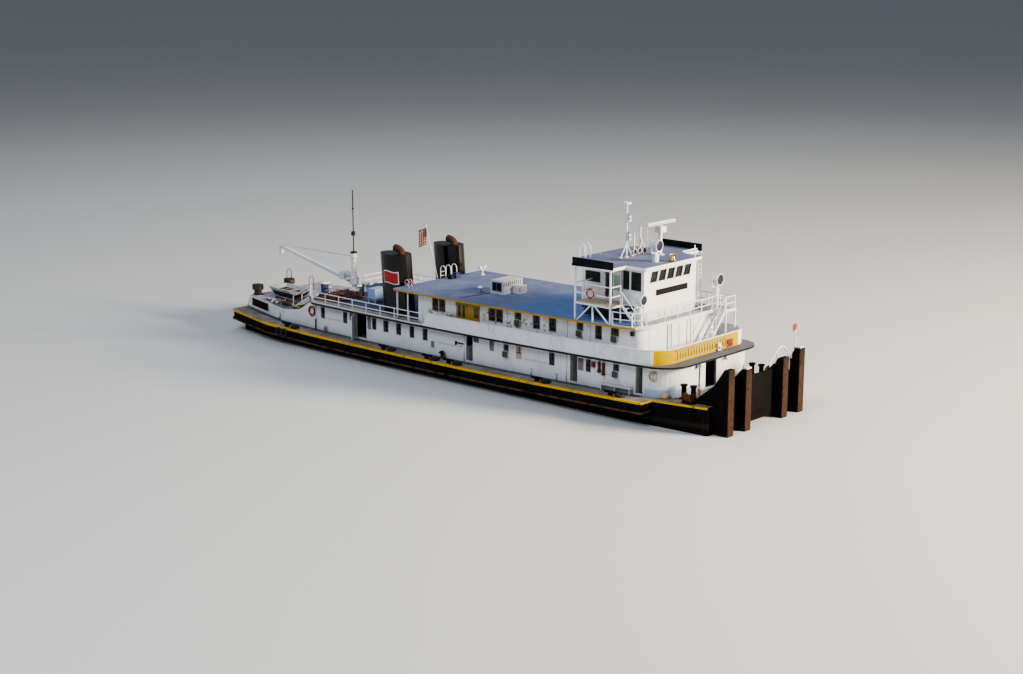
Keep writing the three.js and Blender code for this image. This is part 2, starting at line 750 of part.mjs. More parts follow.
function makeMainHouse() {
  const foot = DECK_Z + GAP;
  const top = BOAT_DECK_Z - PLATE - GAP;
  const wall = [
    [SIDE_WALL_AFT_X, foot],
    [HOUSE_TURN_X, foot],
    [HOUSE_TURN_X, top],
    [HOUSE_AFT_X, top],
    [-14.6, 5.66],
    [-15.07, 5.34],
    [-15.53, 5.09],
    [-16.2, 4.9],
    [SIDE_WALL_AFT_X, CASING_Z],
  ];
  const holes = [
    ...windowHoles(MAIN_WINDOWS, MAIN_SILL_Z, MAIN_HEAD_Z),
    ...doorHoles(MAIN_DOORWAYS, DOOR_FOOT_Z, DOOR_HEAD_Z),
  ];
  const coolers = MAIN_COOLER_XS.map((x) => cooler(x, MAIN_SILL_Z, HOUSE_HALF));
  addPair('main_wall', joined(sideWall(wall, holes, HOUSE_HALF), ...coolers), 'white');
  const front = frontShell(HOUSE_TURN_X, HOUSE_FRONT_X, HOUSE_HALF, HOUSE_CORNER_RADIUS, foot, top);
  const { y0, y1 } = FRONT_DOORWAY;
  const doorway = block(HOUSE_FRONT_X - 1, HOUSE_FRONT_X + 1, y0, y1, DOOR_FOOT_Z, DOOR_HEAD_Z);
  add('main_wall_front', cut(front, doorway, ...BOTH_SIDES.map(portholeTool)), 'white');
  const inside = HOUSE_HALF - WALL - GAP;
  add('main_wall_aft', block(HOUSE_AFT_X, HOUSE_AFT_X + WALL, -inside, inside, foot, top), 'white');
}

// The low casing over the stern, drawn in towards its end, with two capstans
function makeStern() {
  const inside = HOUSE_HALF - WALL - GAP;
  const trunk = plan(wholePlan([
    [CASING_AFT_X, -CASING_AFT_HALF],
    [SIDE_WALL_AFT_X - GAP, -HOUSE_HALF],
    [SIDE_WALL_AFT_X - GAP, -inside],
    [HOUSE_AFT_X - GAP, -inside],
  ]), DECK_Z + GAP, CASING_Z);
  const { radius, height, places } = CAPSTAN;
  const capstans = places.flatMap(([x, y]) => [
    column(x, y, radius, CASING_Z - 0.01, CASING_Z + 0.12, 16),
    column(x, y, radius - 0.08, CASING_Z, CASING_Z + height, 16),
    column(x, y, radius + 0.06, CASING_Z + height - 0.35, CASING_Z + height, 16),
  ]);
  add('stern_casing', joined(trunk, ...capstans), 'white');
}

// Boat deck with a tank on legs and vents
function makeBoatDeck() {
  const z = BOAT_DECK_Z;
  const { aftX, aftHalf, cutX, frontX, half, frontRadius } = BOAT_DECK;
  const outline = wholePlan([[aftX, -aftHalf], [cutX, -half], [frontX, -half, frontRadius]]);
  const plate = plan(outline, z - PLATE, z, 9);
  const [tankX, tankY] = [-10.12, -1.75];
  const legs = [[-0.33, -0.53], [-0.33, 0.53], [0.33, -0.53], [0.33, 0.53]];
  const tank = joined(
    block(tankX - 0.38, tankX + 0.38, tankY - 0.6, tankY + 0.6, z + 0.38, z + 1.12),
    ...legs.map(([dx, dy]) => post(tankX + dx, tankY + dy, 0.08, z - 0.01, z + 0.4)),
  );
  const vents = [[-13.6, 0.35, 0.72], [-13.9, 3.3, 0.55], [-10.4, 2.3, 0.6]].flatMap(([x, y, height]) => [
    column(x, y, 0.17, z - 0.01, z + height),
    column(x, y, 0.31, z + height - 0.16, z + height),
  ]);
  add('boat_deck', joined(plate, tank, ...vents), 'deckGrey');
}

function makeBulwark() {
  const { aftX, frontX, half, radius, height, wall, slant } = BULWARK;
  const path = wholePlan([[aftX, -half], [frontX, -half, radius]]);
  const foot = BOAT_DECK_Z + GAP;
  const top = BOAT_DECK_Z + height;
  const sheet = plan(strip(path, wall), foot, top, 9);
  const cap = plan(strip(path, wall + 0.06), top - 0.05, top, 9);
  const slope = side([
    [aftX, foot],
    [aftX + slant, top + 0.01],
    [aftX + slant, top + 1],
    [aftX - 1, top + 1],
    [aftX - 1, foot],
  ], -6, 6);
  add('bulwark', cut(joined(sheet, cap), slope), 'white');
}

function makeUpperHouse() {
  const foot = BOAT_DECK_Z + GAP;
  const top = ROOF_Z - PLATE - GAP;
  const wall = [
    [UPPER_AFT_X, foot],
    [UPPER_TURN_X, foot],
    [UPPER_TURN_X, top],
    [UPPER_AFT_X, top],
  ];
  const holes = [
    ...windowHoles(UPPER_WINDOWS, UPPER_SILL_Z, UPPER_HEAD_Z),
    ...doorHoles(UPPER_DOORWAYS, UPPER_DOOR_FOOT_Z, UPPER_DOOR_HEAD_Z),
  ];
  const coolers = UPPER_COOLER_XS.map((x) => cooler(x, UPPER_SILL_Z, UPPER_HALF));
  addPair('upper_wall', joined(sideWall(wall, holes, UPPER_HALF), ...coolers), 'white');
  const shell = frontShell(UPPER_TURN_X, UPPER_FRONT_X, UPPER_HALF, UPPER_CORNER_RADIUS, foot, top);
  add('upper_wall_front', shell, 'white');
  const inside = UPPER_HALF - WALL - GAP;
  const aftWall = block(UPPER_AFT_X, UPPER_AFT_X + WALL, -inside, inside, foot, top);
  const doorway = block(UPPER_AFT_X - 1, UPPER_AFT_X + 1, -0.45, 0.45, UPPER_DOOR_FOOT_Z, UPPER_DOOR_HEAD_Z);
  add('upper_wall_aft', cut(aftWall, doorway), 'white');
}

// Roof deck with its landing, and the posts that carry its overhangs from the deck below
function makeRoofDeck() {
  const under = ROOF_Z - PLATE;
  const { aftX, frontX, half, aftRadius, frontRadius } = ROOF;
  const outline = wholePlan([[aftX, -half, aftRadius], [frontX, -half, frontRadius]]);
  const plate = plan(outline, under, ROOF_Z, 9);
  const { x0, x1, y0, y1 } = LANDING;
  const aftPosts = BOTH_SIDES.flatMap((sign) => [[-5.25, 4.4 * sign], [-4.2, 4.4 * sign]]);
  const frontPosts = [[16.46, -1.2], [16.46, 0.85], [16.5, 3.52], [17.28, 3.52], [17.28, 4.56]];
  const props = [...aftPosts, ...frontPosts].map(([x, y]) => {
    return post(x, y, 0.09, BOAT_DECK_Z + GAP, under + 0.02);
  });
  add('roof_deck', joined(plate, block(x0, x1, y0, y1, under, ROOF_Z), ...props), 'roofBlue');
}

const HATCH = { x0: 0.8, x1: 2.0, y0: -1.25, y1: 0.75, top: 9.0 };

function makeHatch() {
  const { x0, x1, y0, y1, top } = HATCH;
  const house = block(x0, x1, y0, y1, ROOF_Z + GAP, top);
  const coolerBox = block(x1 - 0.05, x1 + 0.55, -0.3, 0.55, ROOF_Z + GAP, ROOF_Z + 0.55);
  add('hatch_house', joined(house, coolerBox), 'white');
}

// Stacks, raked aft, with an exhaust elbow on top of each

function makeStacks() {
  const lift = liftedAt(STACK_X);
  const height = STACK_TOP_Z - BOAT_DECK_Z;
  const oval = new THREE.CylinderGeometry(0.5, 0.5, height, 24).rotateX(Math.PI / 2);
  oval.scale(STACK_LENGTH, STACK_WIDTH, 1).translate(0, 0, height / 2);
  oval.applyMatrix4(new THREE.Matrix4().makeShear(0, 0, 0, 0, -STACK_RAKE, 0));
  addPair('stack', oval.translate(STACK_X, -STACK_Y, BOAT_DECK_Z + GAP), 'stackBlack', lift);
  const [x, y, z] = [STACK_X + 0.6 - STACK_RAKE * height, -STACK_Y, STACK_TOP_Z];
  const bend = [[x, y, z + 3 * GAP], [x, y, z + 0.12], [x - 0.22, y, z + 0.3], [x - 0.66, y, z + 0.4]];
  const elbow = pipe(bend, 0.26, 12, 6);
  addPair('exhaust', elbow, 'rust', lift);
}

// Crane: the boom slews with its stay, winch and hook about the post

function makeCrane() {
  const lift = standingOn(BOAT_DECK_Z, CRANE_X);
  const crown = CRANE_TOP_Z + 0.12;
  const mast = joined(
    column(CRANE_X, 0, POST_RADIUS, BOAT_DECK_Z + 0.02, CRANE_TOP_Z, 16),
    column(CRANE_X, 0, 0.42, BOAT_DECK_Z + GAP, BOAT_DECK_Z + 0.12, 16),
    column(CRANE_X, 0, POST_RADIUS + 0.06, CRANE_TOP_Z - 0.01, crown, 16),
    column(CRANE_X, 0, 0.045, crown - 0.01, ANTENNA_TOP_Z, 6),
    column(CRANE_X, 0, 0.16, 10.2, 10.5, 8),
    column(CRANE_X, 0, 0.09, 12.2, 12.3, 6),
  );
  add('crane_post', mast, 'white', lift);

  const { footZ, tipX, tipZ, radius, tipRadius } = BOOM;
  const drum = WINCH_DRUM;
  const turn = [CRANE_X - POST_RADIUS - 0.08, CRANE_X];
  const cheeks = BOTH_SIDES.map((sign) => {
    const y = (drum.halfLength - 0.04) * sign;
    return block(drum.x - 0.25, drum.x + 0.25, y - 0.03, y + 0.03, footZ + 0.1, drum.z + 0.15);
  });
  const jib = joined(
    column(CRANE_X, 0, 0.34, footZ - 0.2, footZ + 0.35, 16),
    bar([turn[0], 0, footZ], [tipX, 0, tipZ], radius, 10, tipRadius),
    block(drum.x - 0.3, turn[0], -drum.halfLength, drum.halfLength, footZ + 0.1, footZ + 0.2),
    bar([drum.x, -drum.halfLength, drum.z], [drum.x, drum.halfLength, drum.z], drum.radius, 12),
    ...cheeks,
    column(CRANE_X, 0, 0.3, CRANE_TOP_Z - 0.32, CRANE_TOP_Z - 0.12, 16),
    bar([turn[0], 0, CRANE_TOP_Z - 0.22], [tipX + 0.1, 0, tipZ + 0.06], 0.06, 6),
    block(tipX + 0.07, tipX + 0.23, -0.05, 0.05, tipZ - 0.2, tipZ - 0.05),
  );
  const hole = bore([CRANE_X, 0, footZ - 1], [CRANE_X, 0, CRANE_TOP_Z - 0.05], POST_RADIUS, 16);
  add('crane_jib', cut(jib, hole), 'white', lift);

  const [hookX, hookZ] = [tipX + 0.15, tipZ - 0.2 - GAP];
  const hook = joined(
    block(hookX - 0.15, hookX + 0.15, -0.1, 0.1, hookZ - 0.42, hookZ - 0.06),
    column(hookX, 0, 0.05, hookZ - 0.08, hookZ, 8),
  );
  add('hook_block', hook, 'hullBlack', lift);
}

const SKIFF = {
  x0: -21.75,
  x1: -18.35,
  y0: -2.42,
  y1: -0.6,
  floor: 4.88,
  gunwale: 5.46,
  wall: 0.08,
  bow: 0.5,
  flare: 0.35,
};

function makeSkiff() {
  const { x0, x1, y0, y1, floor, gunwale, wall, bow, flare } = SKIFF;
  const shell = (inset) => common(
    side([
      [x0 + 0.35 + inset, floor + inset],
      [x1 - 0.9, floor + inset],
      [x1 - inset, gunwale + inset],
      [x0 + inset, gunwale + inset],
    ], y0 + inset, y1 - inset),
    plan([
      [x0 + inset, y0 + inset],
      [x1 - 1.1, y0 + inset],
      [x1 - inset, y0 + bow + inset],
      [x1 - inset, y1 - bow - inset],
      [x1 - 1.1, y1 - inset],
      [x0 + inset, y1 - inset],
    ], floor - 1, gunwale + 1),
    section([
      [y0 + flare + inset, floor + inset],
      [y1 - flare - inset, floor + inset],
      [y1 - inset, gunwale + inset],
      [y0 + inset, gunwale + inset],
    ], x0, x1),
  );
  const chocks = [-21, -20].map((x) => {
    return block(x - 0.08, x + 0.08, y0 + 0.5, y1 - 0.5, CASING_Z + GAP, floor + 0.04);
  });
  const thwart = common(shell(0), block(-20.1, -19.8, y0, y1, gunwale - 0.2, gunwale - 0.14));
  add('skiff', joined(cut(shell(0), shell(wall)), ...chocks, thwart), 'white');
}

// Pilothouse

const PILOT_WINDOWS = [
  { x0: 10.6, x1: 11.85, z0: 10.25, z1: 10.95 },
  { x0: 13.68, x1: 14.22, z0: 10.1, z1: 11.3 },
  { x0: 14.34, x1: 15.18, z0: 10.1, z1: 11.3 },
];
const PILOT_DOORWAY = { x0: 12.22, x1: 12.9, z0: WING_Z + 0.04, z1: 11.2 };
const FRONT_PANES = { count: 5, pitch: 0.88, width: 0.74, lean: 0.22, z0: 10.6, z1: 11.3 };

// A pane's opening that leans to port as it rises
function leaningPane(y) {
  const { width, lean, z0, z1 } = FRONT_PANES;
  const [left, right] = [y - width / 2, y + width / 2];
  const outline = [
    [left - lean / 2, z0],
    [right - lean / 2, z0],
    [right + lean / 2, z1],
    [left + lean / 2, z1],
  ];
  return section(outline, PILOT_FRONT_X - 1, PILOT_FRONT_X + 1);
}

function makePilothouse() {
  const half = PILOT_HALF;
  const base = joined(
    block(PILOT_AFT_X + 0.1, PILOT_FRONT_X, -half + 0.1, half - 0.1, ROOF_Z + GAP, BRIDGE_Z),
    block(PILOT_AFT_X + 0.2, PILOT_FRONT_X - 0.2, -half + 0.2, half - 0.2, BRIDGE_Z - 0.01, PILOT_FLOOR_Z),
    block(14.4, 15.0, -1.7, 1.7, PILOT_FLOOR_Z - 0.01, 10.25),
  );
  add('pilothouse_base', base, 'white', onRoof);
  const foot = BRIDGE_Z + GAP;
  const top = PILOT_TOP_Z - GAP;
  const wall = [[PILOT_AFT_X, foot], [PILOT_FRONT_X, foot], [PILOT_FRONT_X, top], [PILOT_AFT_X, top]];
  const holes = [...PILOT_WINDOWS, PILOT_DOORWAY].map(({ x0, x1, z0, z1 }) => opening(x0, x1, z0, z1));
  addPair('pilothouse_wall', sideWall(wall, holes, half), 'white', levelPilothouse);
  const inside = half - WALL - GAP;
  const { count, pitch } = FRONT_PANES;
  const panes = Array.from({ length: count }, (_, n) => leaningPane((n - (count - 1) / 2) * pitch));
  const front = block(PILOT_FRONT_X - WALL, PILOT_FRONT_X, -inside, inside, foot, top);
  add('pilothouse_wall_front', cut(front, ...panes), 'white', levelPilothouse);
  const aft = block(PILOT_AFT_X, PILOT_AFT_X + WALL, -inside, inside, foot, top);
  const aftPanes = [-1.6, 0, 1.6].map((y) => {
    return block(PILOT_AFT_X - 1, PILOT_AFT_X + 1, y - 0.55, y + 0.55, 10.45, 11.3);
  });
  add('pilothouse_wall_aft', cut(aft, ...aftPanes), 'white', levelPilothouse);
}

// Roof over the pilothouse and its wings, with an edge board over each wing, masts and a lamp seat
function makePilothouseRoof() {
  const { aftX, frontX, half } = EAVES;
  const canopyHalf = WING.half + 0.2;
  const boards = BOTH_SIDES.map((sign) => {
    const [y0, y1] = [(canopyHalf - 0.08) * sign, canopyHalf * sign].sort((a, b) => a - b);
    return block(WING.aftX, WING.frontX + 0.3, y0, y1, PILOT_TOP_Z + 0.05, PILOT_ROOF_Z + 0.42);
  });
  const z = PILOT_ROOF_Z;
  const ladderHoops = [-2.9, -2.4].map((y) => pipe([
    [aftX + 0.15, y, z - 0.02],
    [aftX + 0.15, y, z + 0.65],
    [aftX + 0.4, y, z + 0.95],
    [aftX + 0.65, y, z + 0.65],
    [aftX + 0.65, y, z - 0.02],
  ], 0.035, 6, 10).translate(0, 0.1, 0));
  const canopy = wholePlan([[WING.aftX - 0.1, -canopyHalf, 0.1], [WING.frontX + 0.1, -canopyHalf, 0.1]]);
  const roof = joined(
    plan(wholePlan([[aftX, -half, 0.2], [frontX, -half, 0.2]]), PILOT_TOP_Z, z),
    plan(canopy, PILOT_TOP_Z, z),
    ...boards,
    ...ladderHoops,
    column(11.06, 1.7, 0.05, z - 0.01, 12.85, 8),
    column(11.13, 2.27, 0.06, z - 0.01, 13.2, 8),
    bar([11.13, 2.27, 12.5], [11.6, 2.27, z - 0.02], 0.04, 6),
    column(15.6, 2.25, 0.045, z - 0.01, 12.5, 8),
    block(15.56, 15.64, 0.95, 2.45, 12.2, 12.28),
    column(SEARCHLIGHTS[2].x, SEARCHLIGHTS[2].y, 0.22, z - 0.01, SEARCHLIGHTS[2].seatZ, 12),
  );
  add('pilothouse_roof', roof, 'roofBlue', levelPilothouse);
}

// A wing: floor, legs up to the canopy, braces, rails and a short stair to the roof deck
function makeWings() {
  const { aftX, frontX, half, railHeight } = WING;
  const foot = ROOF_Z + GAP;
  const inner = -PILOT_HALF - GAP;
  const legY = -half + 0.05;
  const [aftLegX, frontLegX] = [aftX + 0.06, frontX - 0.06];
  const middleX = (aftX + frontX) / 2;
  const legs = [aftLegX, frontLegX].map((x) => post(x, legY, 0.1, foot, PILOT_TOP_Z - GAP));
  const brace = (footX, lean) => side([
    [footX - 0.06, foot],
    [footX + 0.06, foot],
    [footX + lean + 0.06, WING_Z - 0.05],
    [footX + lean - 0.06, WING_Z - 0.05],
  ], legY - 0.03, legY + 0.03);
  const levels = [railHeight, railHeight / 2];
  const rails = levels.flatMap((height) => {
    const [z0, z1] = [WING_Z + height - RAIL_BAR, WING_Z + height];
    return [
      block(aftLegX - 0.025, aftLegX + 0.025, legY, inner, z0, z1),
      block(frontLegX - 0.025, frontLegX + 0.025, legY, inner - 0.64, z0, z1),
      block(aftLegX, frontLegX, legY - 0.02, legY + 0.02, z0, z1),
    ];
  });
  const uprights = [[aftLegX, -3.6], [frontLegX, inner - 0.67]].map(([x, y]) => {
    return post(x, y, RAIL_BAR, WING_Z - 0.02, WING_Z + railHeight);
  });
  const lowerPost = post(frontLegX, inner - 0.67, 0.08, foot, WING_Z - 0.05);
  const steps = stair({
    foot: [frontX + 1.05, foot],
    top: [frontX - 0.02, WING_Z - 0.02],
    near: inner - 0.64,
    far: inner - 0.04,
    steps: 4,
    railHeight: 0.85,
    carry: side,
  });
  const wing = joined(
    block(aftX, frontX, -half, inner, WING_Z - PLATE, WING_Z),
    ...legs,
    brace(aftX + 0.2, 1.2),
    brace(frontX - 0.2, -1.2),
    post(middleX, legY, 0.08, foot, WING_Z - 0.05),
    ...rails,
    ...uprights,
    lowerPost,
    steps,
  );
  addPair('wing', wing, 'white', onRoof);
}

// Mast and radar

function makeMast() {
  const foot = PILOT_ROOF_Z + GAP;
  const [x, y] = [12.3, -0.7];
  const legs = [-0.59, 0.59].map((dy) => bar([x, y + dy, foot + 0.03], [x, y, 12.55], 0.045, 6));
  const shoes = [-0.6, 0.6].map((dy) => column(x, y + dy, 0.12, foot, foot + 0.08, 8));
  const lamps = [14.36, 14.13, 13.18, 12.92].map((z) => {
    return block(x - 0.02, x + 0.3, y - 0.09, y + 0.09, z - 0.08, z + 0.08);
  });
  const mast = joined(
    column(x, y, 0.06, foot + 0.02, 15.2, 8),
    column(x, y, 0.16, foot, foot + 0.05, 8),
    ...shoes,
    ...legs,
    ...lamps,
    column(x, y, 0.28, 15.18, 15.3, 12),
  );
  add('mast', mast, 'white', levelPilothouse);
}

const RADAR = { x: 13.4, y: 1.45, drumZ: 13.2, scannerZ: 13.72, halfLength: 1.45 };

function makeRadar() {
  const foot = PILOT_ROOF_Z + GAP;
  const { x, y, drumZ, scannerZ, halfLength } = RADAR;
  const pedestal = joined(
    column(x, y, 0.13, foot + 0.02, drumZ + 0.02),
    column(x, y, 0.3, foot, foot + 0.06),
    block(x - 0.26, x + 0.26, y - 0.3, y + 0.3, drumZ, scannerZ - 0.12),
  );
  add('radar_pedestal', pedestal, 'white', levelPilothouse);
  const neck = column(x, y, 0.08, scannerZ - 0.12 + GAP, scannerZ + 0.02);
  const beam = block(x - 0.12, x + 0.12, y - halfLength, y + halfLength, scannerZ, scannerZ + 0.2);
  add('radar_scanner', joined(neck, beam), 'white', levelPilothouse);
}

// Searchlights: seats, and lamps that pan on them

const SEARCHLIGHTS = [
  { name: 'starboard', x: 15.8, y: -3.7, seatZ: 9.22, radius: 0.33, length: 0.6, lift: liftedAt(15.8) },
  { name: 'port', x: 16.4, y: 3.62, seatZ: 9.5, radius: 0.38, length: 0.62, lift: liftedAt(16.4) },
  { name: 'roof', x: 14.7, y: -0.75, seatZ: 12.2, radius: 0.36, length: 0.62, lift: levelPilothouse },
];

function makeSearchlights() {
  SEARCHLIGHTS.forEach(({ name, x, y, seatZ, radius, length, lift }) => {
    const z = seatZ + radius + 0.2;
    const arms = BOTH_SIDES.map((sign) => {
      const at = y + (radius + 0.06) * sign;
      return block(x - 0.05, x + 0.05, at - 0.03, at + 0.03, seatZ + 0.08, z + 0.06);
    });
    const lamp = joined(
      column(x, y, 0.12, seatZ + GAP, seatZ + 0.12),
      block(x - 0.07, x + 0.07, y - radius - 0.09, y + radius + 0.09, seatZ + 0.08, seatZ + 0.14),
      ...arms,
      bar([x, y - radius - 0.06, z], [x, y + radius + 0.06, z], 0.05, 8),
      bar([x - length / 2, y, z], [x + length / 2, y, z], radius * 0.8, 16, radius),
    );
    add(`searchlight_${name}`, lamp, 'white', lift);
  });
}

// Rail round the boat deck's after end, with a stair down to the stern casing and a gap for the crane
function makeDeckRail() {
  const { inset } = DECK_RAIL;
  const { aftX, aftHalf, cutX, half } = BOAT_DECK;
  const outer = [[BULWARK.aftX, -half], [cutX, -half], [aftX, -aftHalf], [aftX, 0]];
  const [front, turn, corner] = moved(outer, -inset);
  const edgeX = corner[0];
  const starboard = [[BULWARK.aftX - 0.06, front[1]], turn, corner];
  const path = [...starboard, ...starboard.map(([x, y]) => [x, -y]).reverse()];
  const sideXs = [-2.3, -3.6, -5.05, -6.5, -7.95, -9.4, -10.85, -12.3];
  const posts = BOTH_SIDES.flatMap((sign) => [
    ...sideXs.map((x) => [x, front[1] * sign]),
    [turn[0], turn[1] * sign],
    [(turn[0] + corner[0]) / 2, ((turn[1] + corner[1]) / 2) * sign],
    [edgeX, 3.67 * sign],
    [edgeX, 1.65 * sign],
  ]);
  const rail = railing(path, [...posts, [edgeX, -2.78]], BOAT_DECK_Z, DECK_RAIL);
  const above = BOAT_DECK_Z + 0.2;
  const craneGap = block(edgeX - 0.5, edgeX + 0.5, -1.65, 1.65, above, ROOF_Z);
  const stairGap = block(edgeX - 0.5, edgeX + 0.5, -3.62, -2.78, above, ROOF_Z);
  const steps = stair({
    foot: [-17.4, CASING_Z + GAP],
    top: [BOAT_DECK.aftX - GAP, BOAT_DECK_Z - 0.02],
    near: -3.65,
    far: -2.75,
    steps: 5,
    railHeight: DECK_RAIL.height,
    carry: side,
  });
  const links = [-3.62, -2.78].map((y) => {
    const z = BOAT_DECK_Z + DECK_RAIL.height;
    return block(BOAT_DECK.aftX - 0.06, edgeX, y - 0.02, y + 0.02, z - 0.07, z - 0.025);
  });
  add('rail_boat_deck', joined(cut(rail, craneGap, stairGap), steps, ...links), 'white');
}

// The roof rail follows its deck, but the seats of the searchlights on it are level
function levelSeats(x, z) {
  const [starboard, port] = SEARCHLIGHTS;
  if (z < ROOF_Z + ROOF_RAIL.height + GAP) return sheerAt(x);
  return sheerAt(x < (starboard.x + port.x) / 2 ? starboard.x : port.x);
}

// Rail round the front of the roof deck, with the searchlight pedestals on it
function makeRoofRail() {
  const { inset } = ROOF_RAIL;
  const frontX = ROOF.frontX - inset;
  const half = ROOF.half - inset;
  const radius = ROOF.frontRadius - inset;
  const [landingX, landingY] = [LANDING.x1 - inset, LANDING.y0 + inset];
  const startX = WING.frontX + 0.15;
  const path = [
    [startX, -half],
    [frontX, -half, radius],
    [frontX, landingY],
    [landingX, landingY],
    [landingX, half],
    [startX, half],
  ];
  const centre = [frontX - radius, -half + radius];
  const corners = [-60, -25].map((degrees) => onArc(centre, radius, THREE.MathUtils.degToRad(degrees)));
  const posts = [
    [startX + 0.04, -half],
    ...corners.map((p) => [p.x, p.y]),
    ...[-1.95, -0.65, 0.65, 1.95, 3.1].map((y) => [frontX, y]),
    [frontX + 0.12, landingY],
    [landingX, landingY],
    [landingX, half],
    ...[16.1, 15.1, startX + 0.04].map((x) => [x, half]),
  ];
  const rail = railing(path, posts, ROOF_Z, ROOF_RAIL);
  const [gapY0, gapY1] = [LANDING.y0 - 0.2, landingY + 0.2];
  const stairGap = block(frontX + 0.12, landingX - 0.03, gapY0, gapY1, ROOF_Z + 0.2, ROOF_Z + 2);
  const pedestals = SEARCHLIGHTS.slice(0, 2).map(({ x, y, seatZ }) => {
    const [tieY0, tieY1] = y < 0 ? [-half, y] : [y, half];
    const tie = block(x - 0.04, x + 0.04, tieY0, tieY1, ROOF_Z + 0.86, ROOF_Z + 0.9);
    return joined(column(x, y, 0.2, ROOF_Z + GAP, seatZ, 16), tie);
  });
  add('rail_roof', joined(cut(rail, stairGap), ...pedestals), 'white', levelSeats);
}

function makeFrontStairs() {
  const steps = stair({
    foot: [1.5, BOAT_DECK_Z + GAP],
    top: [LANDING.y0 - GAP, ROOF_Z - 0.02],
    near: ROOF.frontX + 0.08,
    far: LANDING.x1 - 0.05,
    steps: 7,
    railHeight: ROOF_RAIL.height,
    carry: section,
  });
  add('front_stairs', steps, 'white');
}

// Doors: leaves that hang outside their doorway on a full-length pin at one jamb

const LEAF = { thickness: 0.04, pin: 0.03 };

// A leaf drawn closed along +x from its pin, then turned by degrees about the pin
function leaf(width, z0, z1, degrees) {
  const panel = block(0, width, -LEAF.thickness / 2, LEAF.thickness / 2, z0, z1);
  panel.rotateZ(THREE.MathUtils.degToRad(degrees));
  return joined(panel, column(0, 0, LEAF.pin, z0 - 0.02, z1 + 0.02));
}

const PIN_OFF = LEAF.pin + GAP;

function makeDoors() {
  const mainAt = [-9.4, -HOUSE_HALF - PIN_OFF, 0];
  const mainLift = liftedAt(mainAt[0]);
  const mainLeaf = (degrees) => leaf(1.02, DOOR_FOOT_Z, DOOR_HEAD_Z, degrees).translate(mainAt);
  add('main_door_starboard', mainLeaf(-60), 'white', mainLift);
  add('main_door_port', mainLeaf(0), 'white', mainLift, true);

  const upperAt = [1.3, -UPPER_HALF - PIN_OFF, 0];
  const upperLeaf = leaf(0.9, UPPER_DOOR_FOOT_Z, UPPER_DOOR_HEAD_Z, 180).translate(upperAt);
  addPair('upper_door', upperLeaf, 'mustard', liftedAt(upperAt[0]));

  const pilotAt = [PILOT_DOORWAY.x1 + 0.03, -PILOT_HALF - PIN_OFF, 0];
  const [z0, z1] = [WING_Z + 0.03, PILOT_DOORWAY.z1];
  add('pilothouse_door_starboard', leaf(0.72, z0, z1, 355).translate(pilotAt), 'white', levelPilothouse);
  add('pilothouse_door_port', leaf(0.72, z0, z1, 180).translate(pilotAt), 'white', levelPilothouse, true);

  const frontX = HOUSE_FRONT_X + PIN_OFF;
  const lift = liftedAt(frontX);
  const { y0, y1 } = FRONT_DOORWAY;
  const frontLeaf = (degrees, y) => leaf(0.6, DOOR_FOOT_Z, DOOR_HEAD_Z, degrees).translate([frontX, y, 0]);
  add('front_door_starboard', frontLeaf(-85, y0 - 0.01), 'white', lift);
  add('front_door_port', frontLeaf(85, y1 + 0.01), 'white', lift);
}

makeHull();
makeGuards();
makePushKnees();
makeEngines();
makePropellers();
makeRudders();
makeMainHouse();
makeStern();
makeBoatDeck();
makeBulwark();
makeUpperHouse();
makeRoofDeck();
makeHatch();
makeStacks();
makeCrane();
makeSkiff();
makePilothouse();
makePilothouseRoof();
makeWings();
makeMast();
makeRadar();
makeSearchlights();
makeDeckRail();
makeRoofRail();
makeFrontStairs();
makeDoors();

export default boat;
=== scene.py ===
import math
import random
import bmesh
import bpy
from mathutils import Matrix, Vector


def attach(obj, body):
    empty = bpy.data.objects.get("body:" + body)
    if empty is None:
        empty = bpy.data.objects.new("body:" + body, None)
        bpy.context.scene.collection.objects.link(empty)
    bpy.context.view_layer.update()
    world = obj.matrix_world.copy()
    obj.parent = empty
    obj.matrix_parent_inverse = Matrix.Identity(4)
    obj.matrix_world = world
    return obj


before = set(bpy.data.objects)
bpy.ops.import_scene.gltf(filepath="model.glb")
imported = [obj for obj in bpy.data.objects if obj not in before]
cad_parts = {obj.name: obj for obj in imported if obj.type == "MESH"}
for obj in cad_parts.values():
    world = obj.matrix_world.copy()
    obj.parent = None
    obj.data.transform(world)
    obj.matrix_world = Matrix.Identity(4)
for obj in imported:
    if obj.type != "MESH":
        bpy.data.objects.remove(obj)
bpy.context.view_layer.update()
print("frame loaded", len(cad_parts), "nodes")

# Everything below is measured on the real boat in metres, above its sheer line, and made at half size
half = 0.5
sheerLine = [(-24, 0.37), (-18, 0.145), (-13, 0.03), (-8.5, 0), (-3, 0), (3, 0.05), (9, 0.147), (16, 0.318),
             (24, 0.59)]
waterline = 2.6
pilot = 13  # the pilothouse stands level, lifted as the deck is at this station
deckZ, casingZ, boatDeckZ, roofZ, wingZ, eavesZ, crownZ = 3.86, 4.76, 5.94, 8.06, 9.22, 11.5, 11.7
gap = 0.004  # between a fitting and what carries it
onDeck, onCasing, onBoatDeck, onRoof = deckZ + gap, casingZ + gap, boatDeckZ + gap, roofZ + gap
paintedDeck = deckZ + 0.003
bothSides = {"starboard": -1, "port": 1}


def sheerAt(x):
    for (x0, z0), (x1, z1) in zip(sheerLine, sheerLine[1:]):
        if x <= x1:
            return z0 + (z1 - z0) * (x - x0) / (x1 - x0)
    return sheerLine[-1][1]


def newObject(name, data):
    thing = bpy.data.objects.new(name, data)
    bpy.context.scene.collection.objects.link(thing)
    return thing


def aim(thing, place, sight):
    thing.location = place
    thing.rotation_euler = sight.to_track_quat("-Z", "Y").to_euler()


